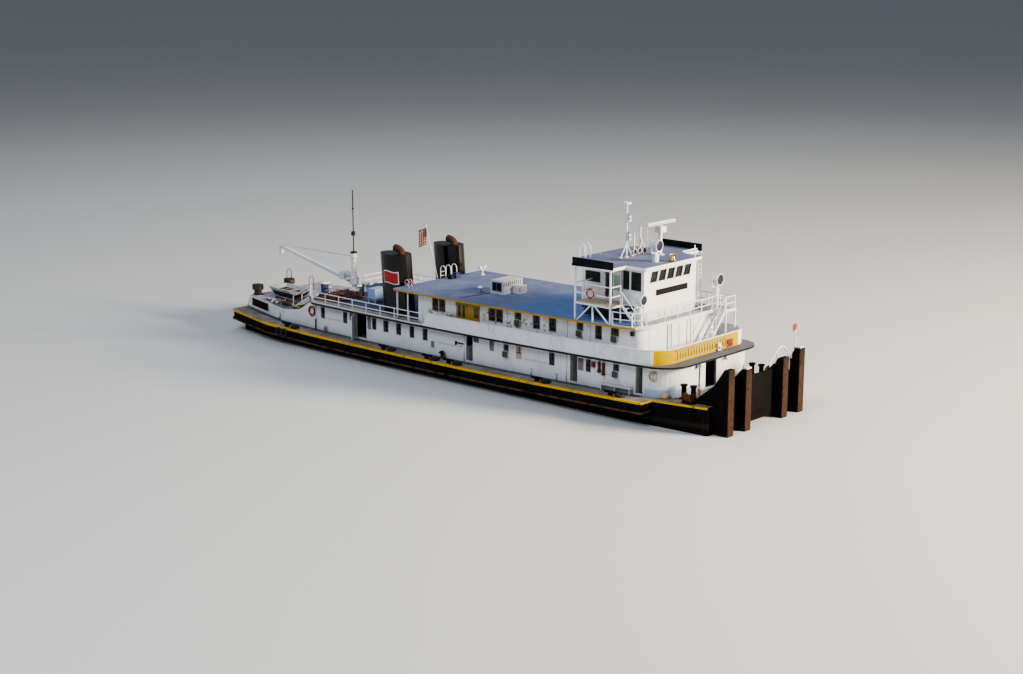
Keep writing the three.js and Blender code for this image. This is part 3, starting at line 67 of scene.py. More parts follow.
camera = {"place": (39.73, -43.07, 15.80), "turn": 42.098, "dip": 12.97, "lens": 59.73, "sensor": 36,
          "farthest": 2000}
cameraData = bpy.data.cameras.new("camera")
cameraData.lens, cameraData.sensor_width, cameraData.clip_end = camera["lens"], camera["sensor"], camera["farthest"]
cameraObject = newObject("camera", cameraData)
turn, dip = math.radians(camera["turn"]), math.radians(camera["dip"])
sight = Vector((-math.sin(turn) * math.cos(dip), math.cos(turn) * math.cos(dip), -math.sin(dip)))
aim(cameraObject, camera["place"], sight)
bpy.context.scene.camera = cameraObject

studio = {
    "key": {"towards": (0.88, 0.34, 0.36), "distance": 70, "size": 18, "watts": 108000, "colour": (1, 0.87, 0.67)},
    "fill": {"towards": (0.12, -0.66, 0.74), "distance": 80, "size": 46, "watts": 30000, "colour": (0.82, 0.89, 1)},
    "top": {"towards": (-0.45, 0.35, 0.9), "distance": 70, "size": 60, "watts": 8000, "colour": (0.88, 0.93, 1)},
}
for lampName, lamp in studio.items():
    lightData = bpy.data.lights.new(lampName, "AREA")
    lightData.shape, lightData.size = "DISK", lamp["size"]
    lightData.energy, lightData.color = lamp["watts"], lamp["colour"]
    towards = Vector(lamp["towards"]).normalized()
    aim(newObject(lampName, lightData), towards * lamp["distance"], -towards)
world = bpy.data.worlds.new("studio")
world.use_nodes = True
sky = world.node_tree.nodes["Background"].inputs
sky["Color"].default_value, sky["Strength"].default_value = (0.78, 0.85, 0.95, 1), 0.2
bpy.context.scene.world = world
bpy.context.scene.view_settings.look = "AgX - Medium High Contrast"
print("camera and light set")


# A short way to write node trees; masks are sockets or plain numbers
class Graph:
    def __init__(self, tree):
        self.tree = tree
        self.place = self.node("TexCoord")["Object"]

    def node(self, kind, given=None, **settings):  # given is what goes into its sockets
        made = self.tree.nodes.new("ShaderNode" + kind)
        for name, value in settings.items():
            setattr(made, name, value)
        for name, value in (given or {}).items():
            self.feed(made.inputs[name], value)
        return made.outputs

    def feed(self, socket, value):
        if isinstance(value, bpy.types.NodeSocket):
            self.tree.links.new(value, socket)
        elif isinstance(value, tuple) and socket.type == "RGBA":
            socket.default_value = value + (1,)
        else:
            socket.default_value = value

    def math(self, operation, a, b=0.0, clamp=False):
        return self.node("Math", {0: a, 1: b}, operation=operation, use_clamp=clamp)[0]

    def mix(self, amount, a, b, blend="MIX"):
        return self.node("Mix", {0: amount, 6: a, 7: b}, data_type="RGBA", blend_type=blend)[2]

    def noise(self, scale, detail=3.0, rough=0.55, stretch=None):
        vector = self.node("Mapping", {"Scale": stretch, "Vector": self.place})[0] if stretch else self.place
        return self.node("TexNoise", {"Vector": vector, "Scale": scale, "Detail": detail, "Roughness": rough})[0]

    def steps(self, value, low, high):  # 0 under low, 1 over high, smooth between
        limits = {"Value": value, "From Min": low, "From Max": high}
        return self.node("MapRange", limits, interpolation_type="SMOOTHSTEP")[0]

    def flip(self, mask):
        return self.math("SUBTRACT", 1.0, mask)

    def less(self, value, low, high):  # 1 under low, 0 over high
        return self.flip(self.steps(value, low, high))

    def band(self, value, low, high, soft=0.01):  # 1 between low and high
        return self.both(self.steps(value, low - soft, low + soft), self.less(value, high - soft, high + soft))

    def chain(self, operation, masks):
        whole = masks[0]
        for mask in masks[1:]:
            whole = self.math(operation, whole, mask)
        return whole

    def most(self, *masks):
        return self.chain("MAXIMUM", masks)

    def both(self, *masks):
        return self.chain("MULTIPLY", masks)

    def plus(self, *masks):
        return self.chain("ADD", masks)

    def over(self, color, *coats):  # coats of a mask and a colour, each over the last
        for mask, coat in coats:
            color = self.mix(mask, color, coat)
        return color


def newGroup(name, inputs, outputs):
    tree = bpy.data.node_groups.new(name, "ShaderNodeTree")
    for socketName, value in inputs.items():
        kind = "Color" if isinstance(value, tuple) else "Float"
        socket = tree.interface.new_socket(socketName, in_out="INPUT", socket_type="NodeSocket" + kind)
        socket.default_value = value + (1,) if kind == "Color" else value
    for socketName in outputs:
        kind = "Color" if socketName == "Color" else "Float"
        tree.interface.new_socket(socketName, in_out="OUTPUT", socket_type="NodeSocket" + kind)
    return Graph(tree), tree.nodes.new("NodeGroupInput").outputs, tree.nodes.new("NodeGroupOutput").inputs


# Where a point is on the real boat, and whether it faces up or forward
def makePlaceGroup():
    graph, _, out = newGroup("place", {}, ("Along", "Across", "Height", "Top", "Face"))
    along, across, up = (graph.both(part, 1 / half) for part in graph.node("SeparateXYZ", {0: graph.place}))
    curve = graph.tree.nodes.new("ShaderNodeFloatCurve")
    start, span = sheerLine[0][0], sheerLine[-1][0] - sheerLine[0][0]
    points = curve.mapping.curves[0].points
    for i, (x, z) in enumerate(sheerLine):
        spot = (x - start) / span, z
        point = points[i] if i < 2 else points.new(*spot)
        point.location = spot
    for point in points:
        point.handle_type = "VECTOR"
    curve.mapping.update()
    graph.feed(curve.inputs["Value"], graph.math("DIVIDE", graph.math("SUBTRACT", along, start), span))
    normal = graph.node("SeparateXYZ", {0: graph.node("TexCoord")["Normal"]})
    graph.feed(out["Along"], along)
    graph.feed(out["Across"], across)
    graph.feed(out["Height"], graph.math("SUBTRACT", up, curve.outputs[0]))
    graph.feed(out["Top"], graph.steps(normal[2], 0.5, 0.8))
    graph.feed(out["Face"], graph.steps(normal[0], 0.5, 0.8))
    return graph.tree


# Weathered paint: tone, dirt, streaks that run down, rust spots and a hand-painted surface
def makeWearGroup():
    graph, given, out = newGroup("paintWear", {
        "Color": (0.8, 0.8, 0.8), "Rust": (0.24, 0.10, 0.04), "Dirt": 0.4, "Streaks": 0.4, "Spots": 0.3,
        "Roughness": 0.5,
    }, ("Color", "Roughness", "Height", "Wear"))
    grime = graph.plus(graph.both(graph.noise(1.3, 5, 0.6), 0.5), graph.both(graph.noise(5.0, 6, 0.7), 0.5))
    dirty = graph.both(graph.steps(grime, 0.47, 0.70), given["Dirt"])
    shade = graph.mix(dirty, given["Color"], graph.mix(0.7, given["Color"], (0.20, 0.17, 0.14), "MULTIPLY"))
    runs = graph.noise(1.0, 4, 0.6, (17, 17, 0.8))
    streak = graph.both(graph.steps(runs, 0.56, 0.74), graph.steps(graph.noise(1.1, 2), 0.42, 0.62), given["Streaks"])
    stained = graph.mix(streak, shade, graph.mix(0.72, shade, given["Rust"]))
    least = graph.math("SUBTRACT", 0.80, graph.both(given["Spots"], 0.16))
    spot = graph.both(graph.steps(graph.noise(23, 5, 0.7), least, 0.80), graph.steps(graph.noise(1.9, 3), 0.40, 0.66),
                      graph.math("MINIMUM", given["Spots"], 1.0))
    rubbed = graph.both(graph.most(spot, streak, dirty), 0.35)
    brushed = graph.both(graph.noise(60, 3, 0.6, (1, 1, 0.3)), 0.12)
    uneven = graph.plus(graph.noise(2.2, 2), graph.both(spot, -0.4))
    graph.feed(out["Color"], graph.mix(spot, stained, given["Rust"]))
    graph.feed(out["Roughness"], graph.math("ADD", given["Roughness"], rubbed, clamp=True))
    graph.feed(out["Height"], graph.plus(brushed, uneven))
    graph.feed(out["Wear"], graph.most(spot, streak))
    return graph.tree


# Welded plates: a shallow seam every so often along
def makeSeamGroup():
    graph, given, out = newGroup("plateSeams", {"Spacing": 1.8, "Width": 0.02}, ("Mask",))
    along = graph.both(graph.node("SeparateXYZ", {0: graph.place})[0], 1 / half)
    along = graph.math("DIVIDE", along, given["Spacing"])
    off = graph.math("ABSOLUTE", graph.math("SUBTRACT", graph.math("FRACT", along), 0.5))
    graph.feed(out["Mask"], graph.less(off, 0.0, graph.math("DIVIDE", given["Width"], given["Spacing"])))
    return graph.tree


# Walked-on deck paint: blotches, old puddles and flecks
def makeDeckGroup():
    graph, given, out = newGroup("deckWear", {
        "Color": (0.3, 0.3, 0.3), "Patch": (0.4, 0.4, 0.42), "Stain": (0.16, 0.09, 0.05), "Patches": 0.6,
        "Stains": 0.4,
    }, ("Color", "Roughness", "Height"))
    pools = graph.noise(2.4, 5, 0.55)
    puddle = graph.steps(pools, 0.55, 0.62)
    blotch = graph.both(graph.steps(graph.noise(0.9, 6, 0.62), 0.42, 0.62), given["Patches"])
    toned = graph.mix(blotch, given["Color"], given["Patch"])
    damp = graph.mix(graph.both(puddle, 0.35), toned, graph.mix(0.5, toned, (0.1, 0.1, 0.12), "MULTIPLY"))
    rim = graph.both(graph.band(pools, 0.54, 0.58, 0.01), given["Stains"])
    fleck = graph.both(graph.steps(graph.noise(30, 4, 0.7), 0.66, 0.74), given["Stains"])
    graph.feed(out["Color"], graph.over(damp, (rim, given["Stain"]), (fleck, given["Stain"])))
    graph.feed(out["Roughness"], graph.math("SUBTRACT", 0.78, graph.both(puddle, 0.25)))
    graph.feed(out["Height"], graph.plus(graph.both(graph.noise(180, 2, 0.6), 0.25), graph.noise(1.4, 2)))
    return graph.tree


# Rubbed edges, where the surface turns within a small reach
def makeEdgeGroup():
    graph, given, out = newGroup("edgeRub", {"Amount": 0.8}, ("Mask",))
    bevel = graph.node("Bevel", {"Radius": 0.018}, samples=4)[0]
    flat = graph.node("NewGeometry")["Normal"]
    turned = graph.node("VectorMath", {0: bevel, 1: flat}, operation="DOT_PRODUCT")["Value"]
    broken = graph.steps(graph.noise(14, 5, 0.7), 0.38, 0.62)
    graph.feed(out["Mask"], graph.both(graph.less(turned, 0.80, 0.985), broken, given["Amount"]))
    return graph.tree


placeGroup = makePlaceGroup()
wearGroup = makeWearGroup()
seamGroup = makeSeamGroup()
deckGroup = makeDeckGroup()
edgeGroup = makeEdgeGroup()


class Paint(Graph):  # a material under way, with its place sockets ready
    def __init__(self, name):
        self.material = bpy.data.materials.new(name)
        self.material.use_nodes = True
        super().__init__(self.material.node_tree)
        self.shader = self.tree.nodes["Principled BSDF"].inputs
        self.along, self.across, self.height, self.top, self.face = self.group(placeGroup)
        self.out = self.math("ABSOLUTE", self.across)

    def group(self, tree, **values):
        return self.node("Group", values, node_tree=tree)

    def wear(self, color, rust, dirt, streaks, spots, roughness):
        return self.group(wearGroup, Color=color, Rust=rust, Dirt=dirt, Streaks=streaks, Spots=spots,
                          Roughness=roughness)

    def deck(self, color, patch, stain, patches, stains):
        return self.group(deckGroup, Color=color, Patch=patch, Stain=stain, Patches=patches, Stains=stains)

    def seams(self, spacing):
        return self.group(seamGroup, Spacing=spacing, Width=0.03)["Mask"]

    def finish(self, color, roughness, height=None, bump=0.3, reach=0.002, **plain):
        self.feed(self.shader["Base Color"], color)
        self.feed(self.shader["Roughness"], roughness)
        if height is not None:
            bumped = self.node("Bump", {"Strength": bump, "Distance": reach, "Height": height})[0]
            self.feed(self.shader["Normal"], bumped)
        for name, value in plain.items():
            self.shader[name.replace("_", " ")].default_value = value
        return self.material


rustColour, wallRust, tarRust = (0.19, 0.075, 0.03), (0.33, 0.17, 0.08), (0.060, 0.026, 0.014)
darkRust, verdigris = (0.05, 0.02, 0.012), (0.10, 0.16, 0.10)
tarColour, whiteColour = (0.006, 0.0055, 0.005), (0.74, 0.76, 0.80)
yellowColour, mustardColour = (0.70, 0.43, 0.018), (0.389, 0.238, 0.0396)


# Plain weathered paint, for everything of one colour
def wornPaint(name, color, rust=rustColour, dirt=0.4, streaks=0.3, spots=0.3, roughness=0.5, rub=0.5, **plain):
    paint = Paint(name)
    wear = paint.wear(color, rust, dirt, streaks, spots, roughness)
    rubbed = paint.mix(paint.group(edgeGroup, Amount=rub)["Mask"], wear["Color"], rust)
    return paint.finish(rubbed, wear["Roughness"], wear["Height"], **plain)


# White house walls: splashed at the foot, with drips under the head and pale plate seams
def wallPaint(name, foot, head, dirt=0.35, streaks=0.75, proud=99, blueFoot=False, flakes=False, skirt=False):
    paint = Paint(name)
    along, height, out = paint.along, paint.height, paint.out
    wear = paint.wear(whiteColour, wallRust, dirt, streaks, 0.45, 0.42)
    seams = paint.seams(1.83)
    runs = paint.steps(paint.noise(1.0, 4, 0.6, (9, 9, 0.6)), 0.50, 0.72)
    toned = paint.over(wear["Color"], (paint.both(paint.less(height, foot, foot + 0.35), 0.30), (0.36, 0.31, 0.26)),
                       (paint.both(paint.steps(height, head - 0.9, head), runs, 0.35), (0.42, 0.30, 0.20)),
                       (paint.both(seams, 0.16), (0.35, 0.33, 0.31)))
    if blueFoot:  # blue-grey low on the rounded front, brown where worn
        low = paint.both(paint.steps(along, 16.9, 16.95), paint.less(height, 4.36, 4.38))
        toned = paint.mix(low, toned, paint.mix(wear["Wear"], (0.40, 0.50, 0.68), (0.20, 0.16, 0.15)))
    if flakes:  # paint flaked off under the first windows
        torn = paint.both(paint.steps(paint.noise(7, 6, 0.75), 0.47, 0.52), paint.band(height, 6.62, 6.97, 0.12),
                          paint.less(along, 0.1, 0.5), paint.steps(along, -2.6, -2.1))
        specks = paint.both(paint.steps(paint.noise(5, 6, 0.8), 0.565, 0.59), paint.band(height, 6.45, 7.6, 0.3),
                            paint.less(along, 8.0, 9.5), paint.steps(along, 2.3, 3.2))
        toned = paint.mix(paint.most(torn, specks), toned, (0.17, 0.12, 0.03))
    if skirt:  # dark blue, with a black band, on the walls under the wings
        under = paint.both(paint.less(height, 9.04, 9.06), paint.band(out, 2.5, 2.9), paint.less(along, 14.6, 14.62))
        striped = paint.mix(paint.band(height, 8.78, 8.93), (0.030, 0.045, 0.080), (0.010, 0.010, 0.012))
        floor = paint.both(paint.top, paint.band(height, wingZ - 0.12, wingZ + 0.12), paint.steps(out, 2.8, 2.81))
        toned = paint.over(toned, (floor, (0.34, 0.28, 0.20)), (under, striped))
    toned = paint.mix(paint.both(paint.steps(out, proud, proud + 0.01), 0.35), toned, (0.16, 0.14, 0.12))
    return paint.finish(toned, wear["Roughness"], paint.plus(wear["Height"], paint.both(seams, -0.6)), 0.35, 0.004)


def hullPaint():
    paint = Paint("hullPaint")
    along, height = paint.along, paint.height
    wear = paint.wear(tarColour, tarRust, 0.6, 0.8, 0.8, 0.65)
    deck = paint.deck((0.215, 0.190, 0.155), (0.31, 0.28, 0.235), rustColour, 0.7, 0.6)
    flat = paint.both(paint.top, paint.steps(height, deckZ - 0.06, deckZ - 0.03),
                      paint.less(height, deckZ + 0.02, deckZ + 0.05))
    scum = paint.both(paint.band(height, waterline - 0.1, waterline + 0.22, 0.1), 0.4)
    gear = paint.both(paint.steps(along, 19, 19.2), paint.steps(height, deckZ + 0.1, deckZ + 0.12),
                      paint.steps(paint.out, 4.1, 4.2), 0.8)
    edge = paint.both(paint.steps(along, 17.9, 17.92), paint.band(height, deckZ - 0.13, deckZ + 0.02),
                      paint.less(along, 21.86, 21.9), paint.steps(paint.noise(3, 5), 0.3, 0.45))
    color = paint.over(wear["Color"], (scum, (0.04, 0.034, 0.026)), (gear, (0.13, 0.05, 0.025)), (edge, yellowColour),
                       (flat, deck["Color"]))
    return paint.finish(color, wear["Roughness"], paint.mix(flat, wear["Height"], deck["Height"]), 0.5, 0.006,
                        Specular_IOR_Level=0.08)


# The guards: yellow along the lip, scraped and faded, over tar
def guardPaint():
    paint = Paint("guardPaint")
    height = paint.height
    wobble = paint.both(paint.math("SUBTRACT", paint.noise(6, 4), 0.5), 0.05)
    wear = paint.wear((0.007, 0.006, 0.006), (0.075, 0.032, 0.016), 0.6, 0.9, 0.8, 0.65)
    deck = paint.deck((0.215, 0.190, 0.150), (0.31, 0.275, 0.225), rustColour, 0.7, 0.6)
    rim = paint.both(paint.top, paint.steps(paint.plus(paint.out, wobble), 5.93, 5.96))
    low = paint.both(paint.less(height, deckZ - 0.64, deckZ - 0.60),
                     paint.steps(paint.noise(2.6, 5), 0.34, 0.52), 0.8)
    flat = paint.both(paint.top, paint.steps(height, deckZ - 0.02, deckZ - 0.01),
                      paint.less(height, deckZ + 0.02, deckZ + 0.03))
    lip = paint.both(paint.steps(paint.plus(height, wobble), deckZ - 0.15, deckZ - 0.12),
                     paint.less(height, deckZ + 0.03, deckZ + 0.05), paint.most(rim, paint.flip(paint.top)),
                     paint.steps(paint.noise(3.2, 6, 0.7), 0.28, 0.46))
    yellow = paint.mix(paint.steps(paint.noise(9, 6, 0.75), 0.34, 0.44), (0.10, 0.07, 0.03), yellowColour)
    color = paint.over(wear["Color"], (low, (0.14, 0.075, 0.040)), (flat, deck["Color"]), (lip, yellow))
    return paint.finish(color, wear["Roughness"], paint.mix(flat, wear["Height"], deck["Height"]), 0.5, 0.006,
                        Specular_IOR_Level=0.1)


# The push knees: rusty faces that darken upwards, pale caps, arch and staff
def kneePaint():
    paint = Paint("kneePaint")
    along, across, height = paint.along, paint.across, paint.height
    wear = paint.wear(tarColour, tarRust, 0.6, 0.8, 0.7, 0.7)
    face = paint.both(paint.steps(along, 22.93, 22.97), paint.steps(paint.noise(4, 6, 0.7), 0.30, 0.50), 0.9)
    rusty = paint.mix(paint.noise(9, 5), (0.036, 0.018, 0.011), (0.077, 0.042, 0.026))
    above = paint.steps(height, 6.24, 6.25)
    caps = paint.both(paint.steps(height, 5.955, 5.96), paint.band(paint.out, 1.7, 2.4))
    arch = paint.both(paint.steps(height, 4.8, 4.85), paint.band(along, 22.2, 22.42, 0.02),
                      paint.steps(across, 0.9, 1.0),
                      paint.most(paint.steps(height, 5.52, 5.54), paint.band(across, 3.36, 3.55, 0.02)))
    dim = paint.both(paint.steps(height, 5.0, 6.0), 0.45)
    color = paint.over(wear["Color"], (face, rusty), (dim, (0.012, 0.010, 0.009)),
                       (paint.most(above, caps, arch), (0.66, 0.66, 0.63)))
    return paint.finish(color, wear["Roughness"], wear["Height"], 0.5, 0.006, Specular_IOR_Level=0.08)


def casingPaint():
    paint = Paint("casingPaint")
    height = paint.height
    wear = paint.wear(whiteColour, wallRust, 0.5, 0.9, 0.6, 0.5)
    aft = paint.deck((0.37, 0.37, 0.47), (0.46, 0.38, 0.38), (0.24, 0.10, 0.08), 0.8, 0.7)["Color"]
    fore = paint.deck((0.10, 0.15, 0.17), (0.22, 0.19, 0.16), (0.20, 0.07, 0.04), 0.7, 0.9)["Color"]
    flat = paint.both(paint.top, paint.less(height, casingZ + 0.02, casingZ + 0.05))
    top = paint.mix(paint.steps(paint.plus(paint.along, paint.noise(2, 4)), -19.3, -18.6), aft, fore)
    ruddy = paint.plus(0.25, paint.both(paint.steps(paint.across, -2, -1), 0.75))
    worn = paint.both(paint.steps(paint.noise(5, 5), 0.47, 0.56),
                      paint.less(height, casingZ + 0.6, casingZ + 0.9), ruddy)
    capstan = paint.mix(worn, (0.016, 0.013, 0.012), (0.21, 0.075, 0.03))
    color = paint.over(wear["Color"], (flat, top), (paint.steps(height, casingZ + 0.03, casingZ + 0.06), capstan))
    return paint.finish(color, wear["Roughness"], wear["Height"], 0.4, 0.005)


def boatDeckPaint():
    paint = Paint("boatDeckPaint")
    along, height = paint.along, paint.height
    inboard = paint.deck((0.040, 0.075, 0.155), (0.085, 0.12, 0.19), (0.12, 0.045, 0.025), 0.6, 0.5)["Color"]
    walk = paint.deck((0.40, 0.365, 0.30), (0.50, 0.46, 0.40), (0.16, 0.08, 0.04), 0.7, 0.5)
    fore = paint.deck((0.135, 0.135, 0.150), (0.17, 0.165, 0.175), (0.12, 0.08, 0.06), 0.6, 0.3)["Color"]
    wear = paint.wear(whiteColour, rustColour, 0.5, 0.5, 0.5, 0.5)
    tank = paint.both(paint.band(along, -10.7, -9.6), paint.band(paint.across, -2.5, -1.0))
    gear = paint.mix(tank, wear["Color"], paint.mix(wear["Wear"], (0.30, 0.43, 0.62), (0.20, 0.16, 0.14)))
    edge = paint.both(paint.less(height, boatDeckZ, boatDeckZ + 0.01), paint.flip(paint.top))
    color = paint.over(inboard, (paint.steps(paint.out, 3.95, 4.1), walk["Color"]),
                       (paint.steps(along, -2.6, -2.4), fore),
                       (paint.steps(height, boatDeckZ + 0.01, boatDeckZ + 0.02), gear),
                       (edge, (0.016, 0.016, 0.018)))
    return paint.finish(color, walk["Roughness"], walk["Height"], 0.4, 0.004, Specular_IOR_Level=0.25)


# A roof: its top in three tones (aft, patches, forward), its edge in the fascia colour up to a station
def roofPaint(name, plateFoot, plateTop, fascia, fasciaTo, tones, forwardFrom, landing=99, boards=False):
    paint = Paint(name)
    along, height = paint.along, paint.height
    deck = paint.deck(tones[0], tones[1], (0.16, 0.13, 0.12), 0.75, 0.3)
    wear = paint.wear(whiteColour, rustColour, 0.5, 0.6, 0.5, 0.5)
    forward = paint.steps(paint.plus(along, paint.both(paint.noise(1.2, 4), 4.0)), forwardFrom, forwardFrom + 2.2)
    worn = paint.steps(paint.noise(2.1, 5, 0.6, (1, 2.2, 1)), 0.50, 0.66)
    ahead = paint.mix(paint.both(worn, 0.35), tones[2], tones[1])
    grey = paint.mix(worn, (0.36, 0.36, 0.40), (0.25, 0.26, 0.31))
    top = paint.over(deck["Color"], (paint.both(forward, 0.85), ahead),
                     (paint.steps(along, landing, landing + 0.05), grey))
    rim = paint.both(paint.flip(paint.top), paint.steps(height, plateFoot - 0.02, plateFoot),
                     paint.less(along, fasciaTo, fasciaTo + 0.02))
    flat = paint.both(paint.top, paint.band(height, plateFoot, plateTop))
    color = paint.over(wear["Color"], (rim, fascia), (flat, top))
    if boards:  # black edge boards over the wings
        side = paint.both(paint.steps(paint.out, 4.6, 4.61), paint.steps(height, 11.6, 11.61))
        color = paint.mix(side, color, (0.010, 0.011, 0.014))
    return paint.finish(color, deck["Roughness"], deck["Height"], 0.35, 0.004, Specular_IOR_Level=0.12)


# A dark hull with a pale band along its gunwale and pale, dirty inside
def skiffPaint():
    paint = Paint("skiffPaint")
    dark = paint.wear((0.020, 0.018, 0.018), rustColour, 0.5, 0.5, 0.5, 0.5)["Color"]
    pale = paint.wear((0.52, 0.54, 0.54), (0.25, 0.14, 0.08), 0.8, 0.5, 0.7, 0.5)
    inside = paint.both(paint.top, paint.steps(paint.height, 4.93, 4.94))
    light = paint.most(paint.steps(paint.height, 5.21, 5.23), inside)
    return paint.finish(paint.mix(light, dark, pale["Color"]), pale["Roughness"], pale["Height"], 0.4, 0.004)


# White up to its cap, black above; the white is a warm cream, lighter than the house white, as painted sunlight
def cranePaintWithPaintedSunlight():
    paint = Paint("cranePaintWithPaintedSunlight")
    # painted light: the post's white is a sunlit cream rather than the plain house white
    wear = paint.wear((0.90, 0.87, 0.81), rustColour, 0.4, 0.4, 0.5, 0.5)
    color = paint.mix(paint.steps(paint.height, 8.84, 8.85), wear["Color"], (0.012, 0.011, 0.011))
    return paint.finish(color, wear["Roughness"], wear["Height"])


# White with plate seams, yellow round the front; the yellow is painted darker on forward faces, as painted shade
# against the strong light there
def bulwarkPaint():
    paint = Paint("bulwarkPaint")
    along, across = paint.along, paint.across
    wear = paint.wear(whiteColour, wallRust, 0.4, 0.6, 0.4, 0.42)
    # painted shade: faces that point forward get a darker yellow than the other faces of the same paint
    yellowWithPaintedShadeForward = paint.mix(paint.face, (0.66, 0.405, 0.001), (0.50, 0.33, 0.0003))
    golden = paint.wear(yellowWithPaintedShadeForward, (0.25, 0.13, 0.04), 0.4, 0.3, 0.4, 0.5)["Color"]
    outside = paint.most(paint.steps(along, 18.27, 18.29), paint.both(paint.steps(along, 16.75, 16.8), paint.face),
                         paint.steps(paint.math("SUBTRACT", along, across), 22.05, 22.07))
    front = paint.both(paint.steps(along, 17.66, 17.69), paint.less(across, 3.45, 3.48),
                       paint.less(paint.height, boatDeckZ + 0.91, boatDeckZ + 0.92), outside)
    color = paint.over(wear["Color"], (paint.both(paint.seams(2.4), 0.2), (0.34, 0.32, 0.30)), (front, golden))
    return paint.finish(color, wear["Roughness"], wear["Height"], 0.35, 0.004, Specular_IOR_Level=0.12)


def glassPaint(name, tint, roughness=0.06):
    paint = Paint(name)
    blind = paint.both(paint.steps(paint.noise(2.6, 1), 0.52, 0.56), 0.05)
    smear = paint.noise(7, 4, 0.7)
    shade = paint.over(tint, (blind, (0.42, 0.42, 0.38)), (paint.both(smear, 0.06), (0.16, 0.18, 0.20)))
    return paint.finish(shade, paint.plus(paint.both(smear, 0.10), roughness), smear, 0.05, Specular_IOR_Level=0.35)


def clearGlass(name, tint):
    paint = Paint(name)
    smear = paint.noise(7, 4, 0.7)
    color = paint.mix(paint.both(smear, 0.12), tint, (0.75, 0.80, 0.80))
    return paint.finish(color, paint.both(smear, 0.08), smear, 0.04, Transmission_Weight=0.9, IOR=1.2)


def clothPaint(name, stripes):
    paint = Paint(name)
    paint.place = paint.node("UVMap")[0]
    fly, hoist, _ = paint.node("SeparateXYZ", {0: paint.place})
    weave = paint.noise(240, 2, 0.6)
    if stripes:
        odd = paint.steps(paint.math("FRACT", paint.both(hoist, 6.5)), 0.48, 0.52)
        corner = paint.both(paint.math("LESS_THAN", fly, 0.34), paint.math("GREATER_THAN", hoist, 0.46))
        color = paint.mix(corner, paint.mix(odd, (0.36, 0.05, 0.045), (0.46, 0.42, 0.39)), (0.03, 0.035, 0.075))
    else:
        color = paint.mix(weave, (0.30, 0.022, 0.017), (0.24, 0.017, 0.014))
    faded = paint.mix(paint.both(paint.noise(5, 4, 0.6), 0.35), color, (0.45, 0.30, 0.26))
    return paint.finish(faded, 0.85, weave, 0.3, 0.0006, Sheen_Weight=0.25)


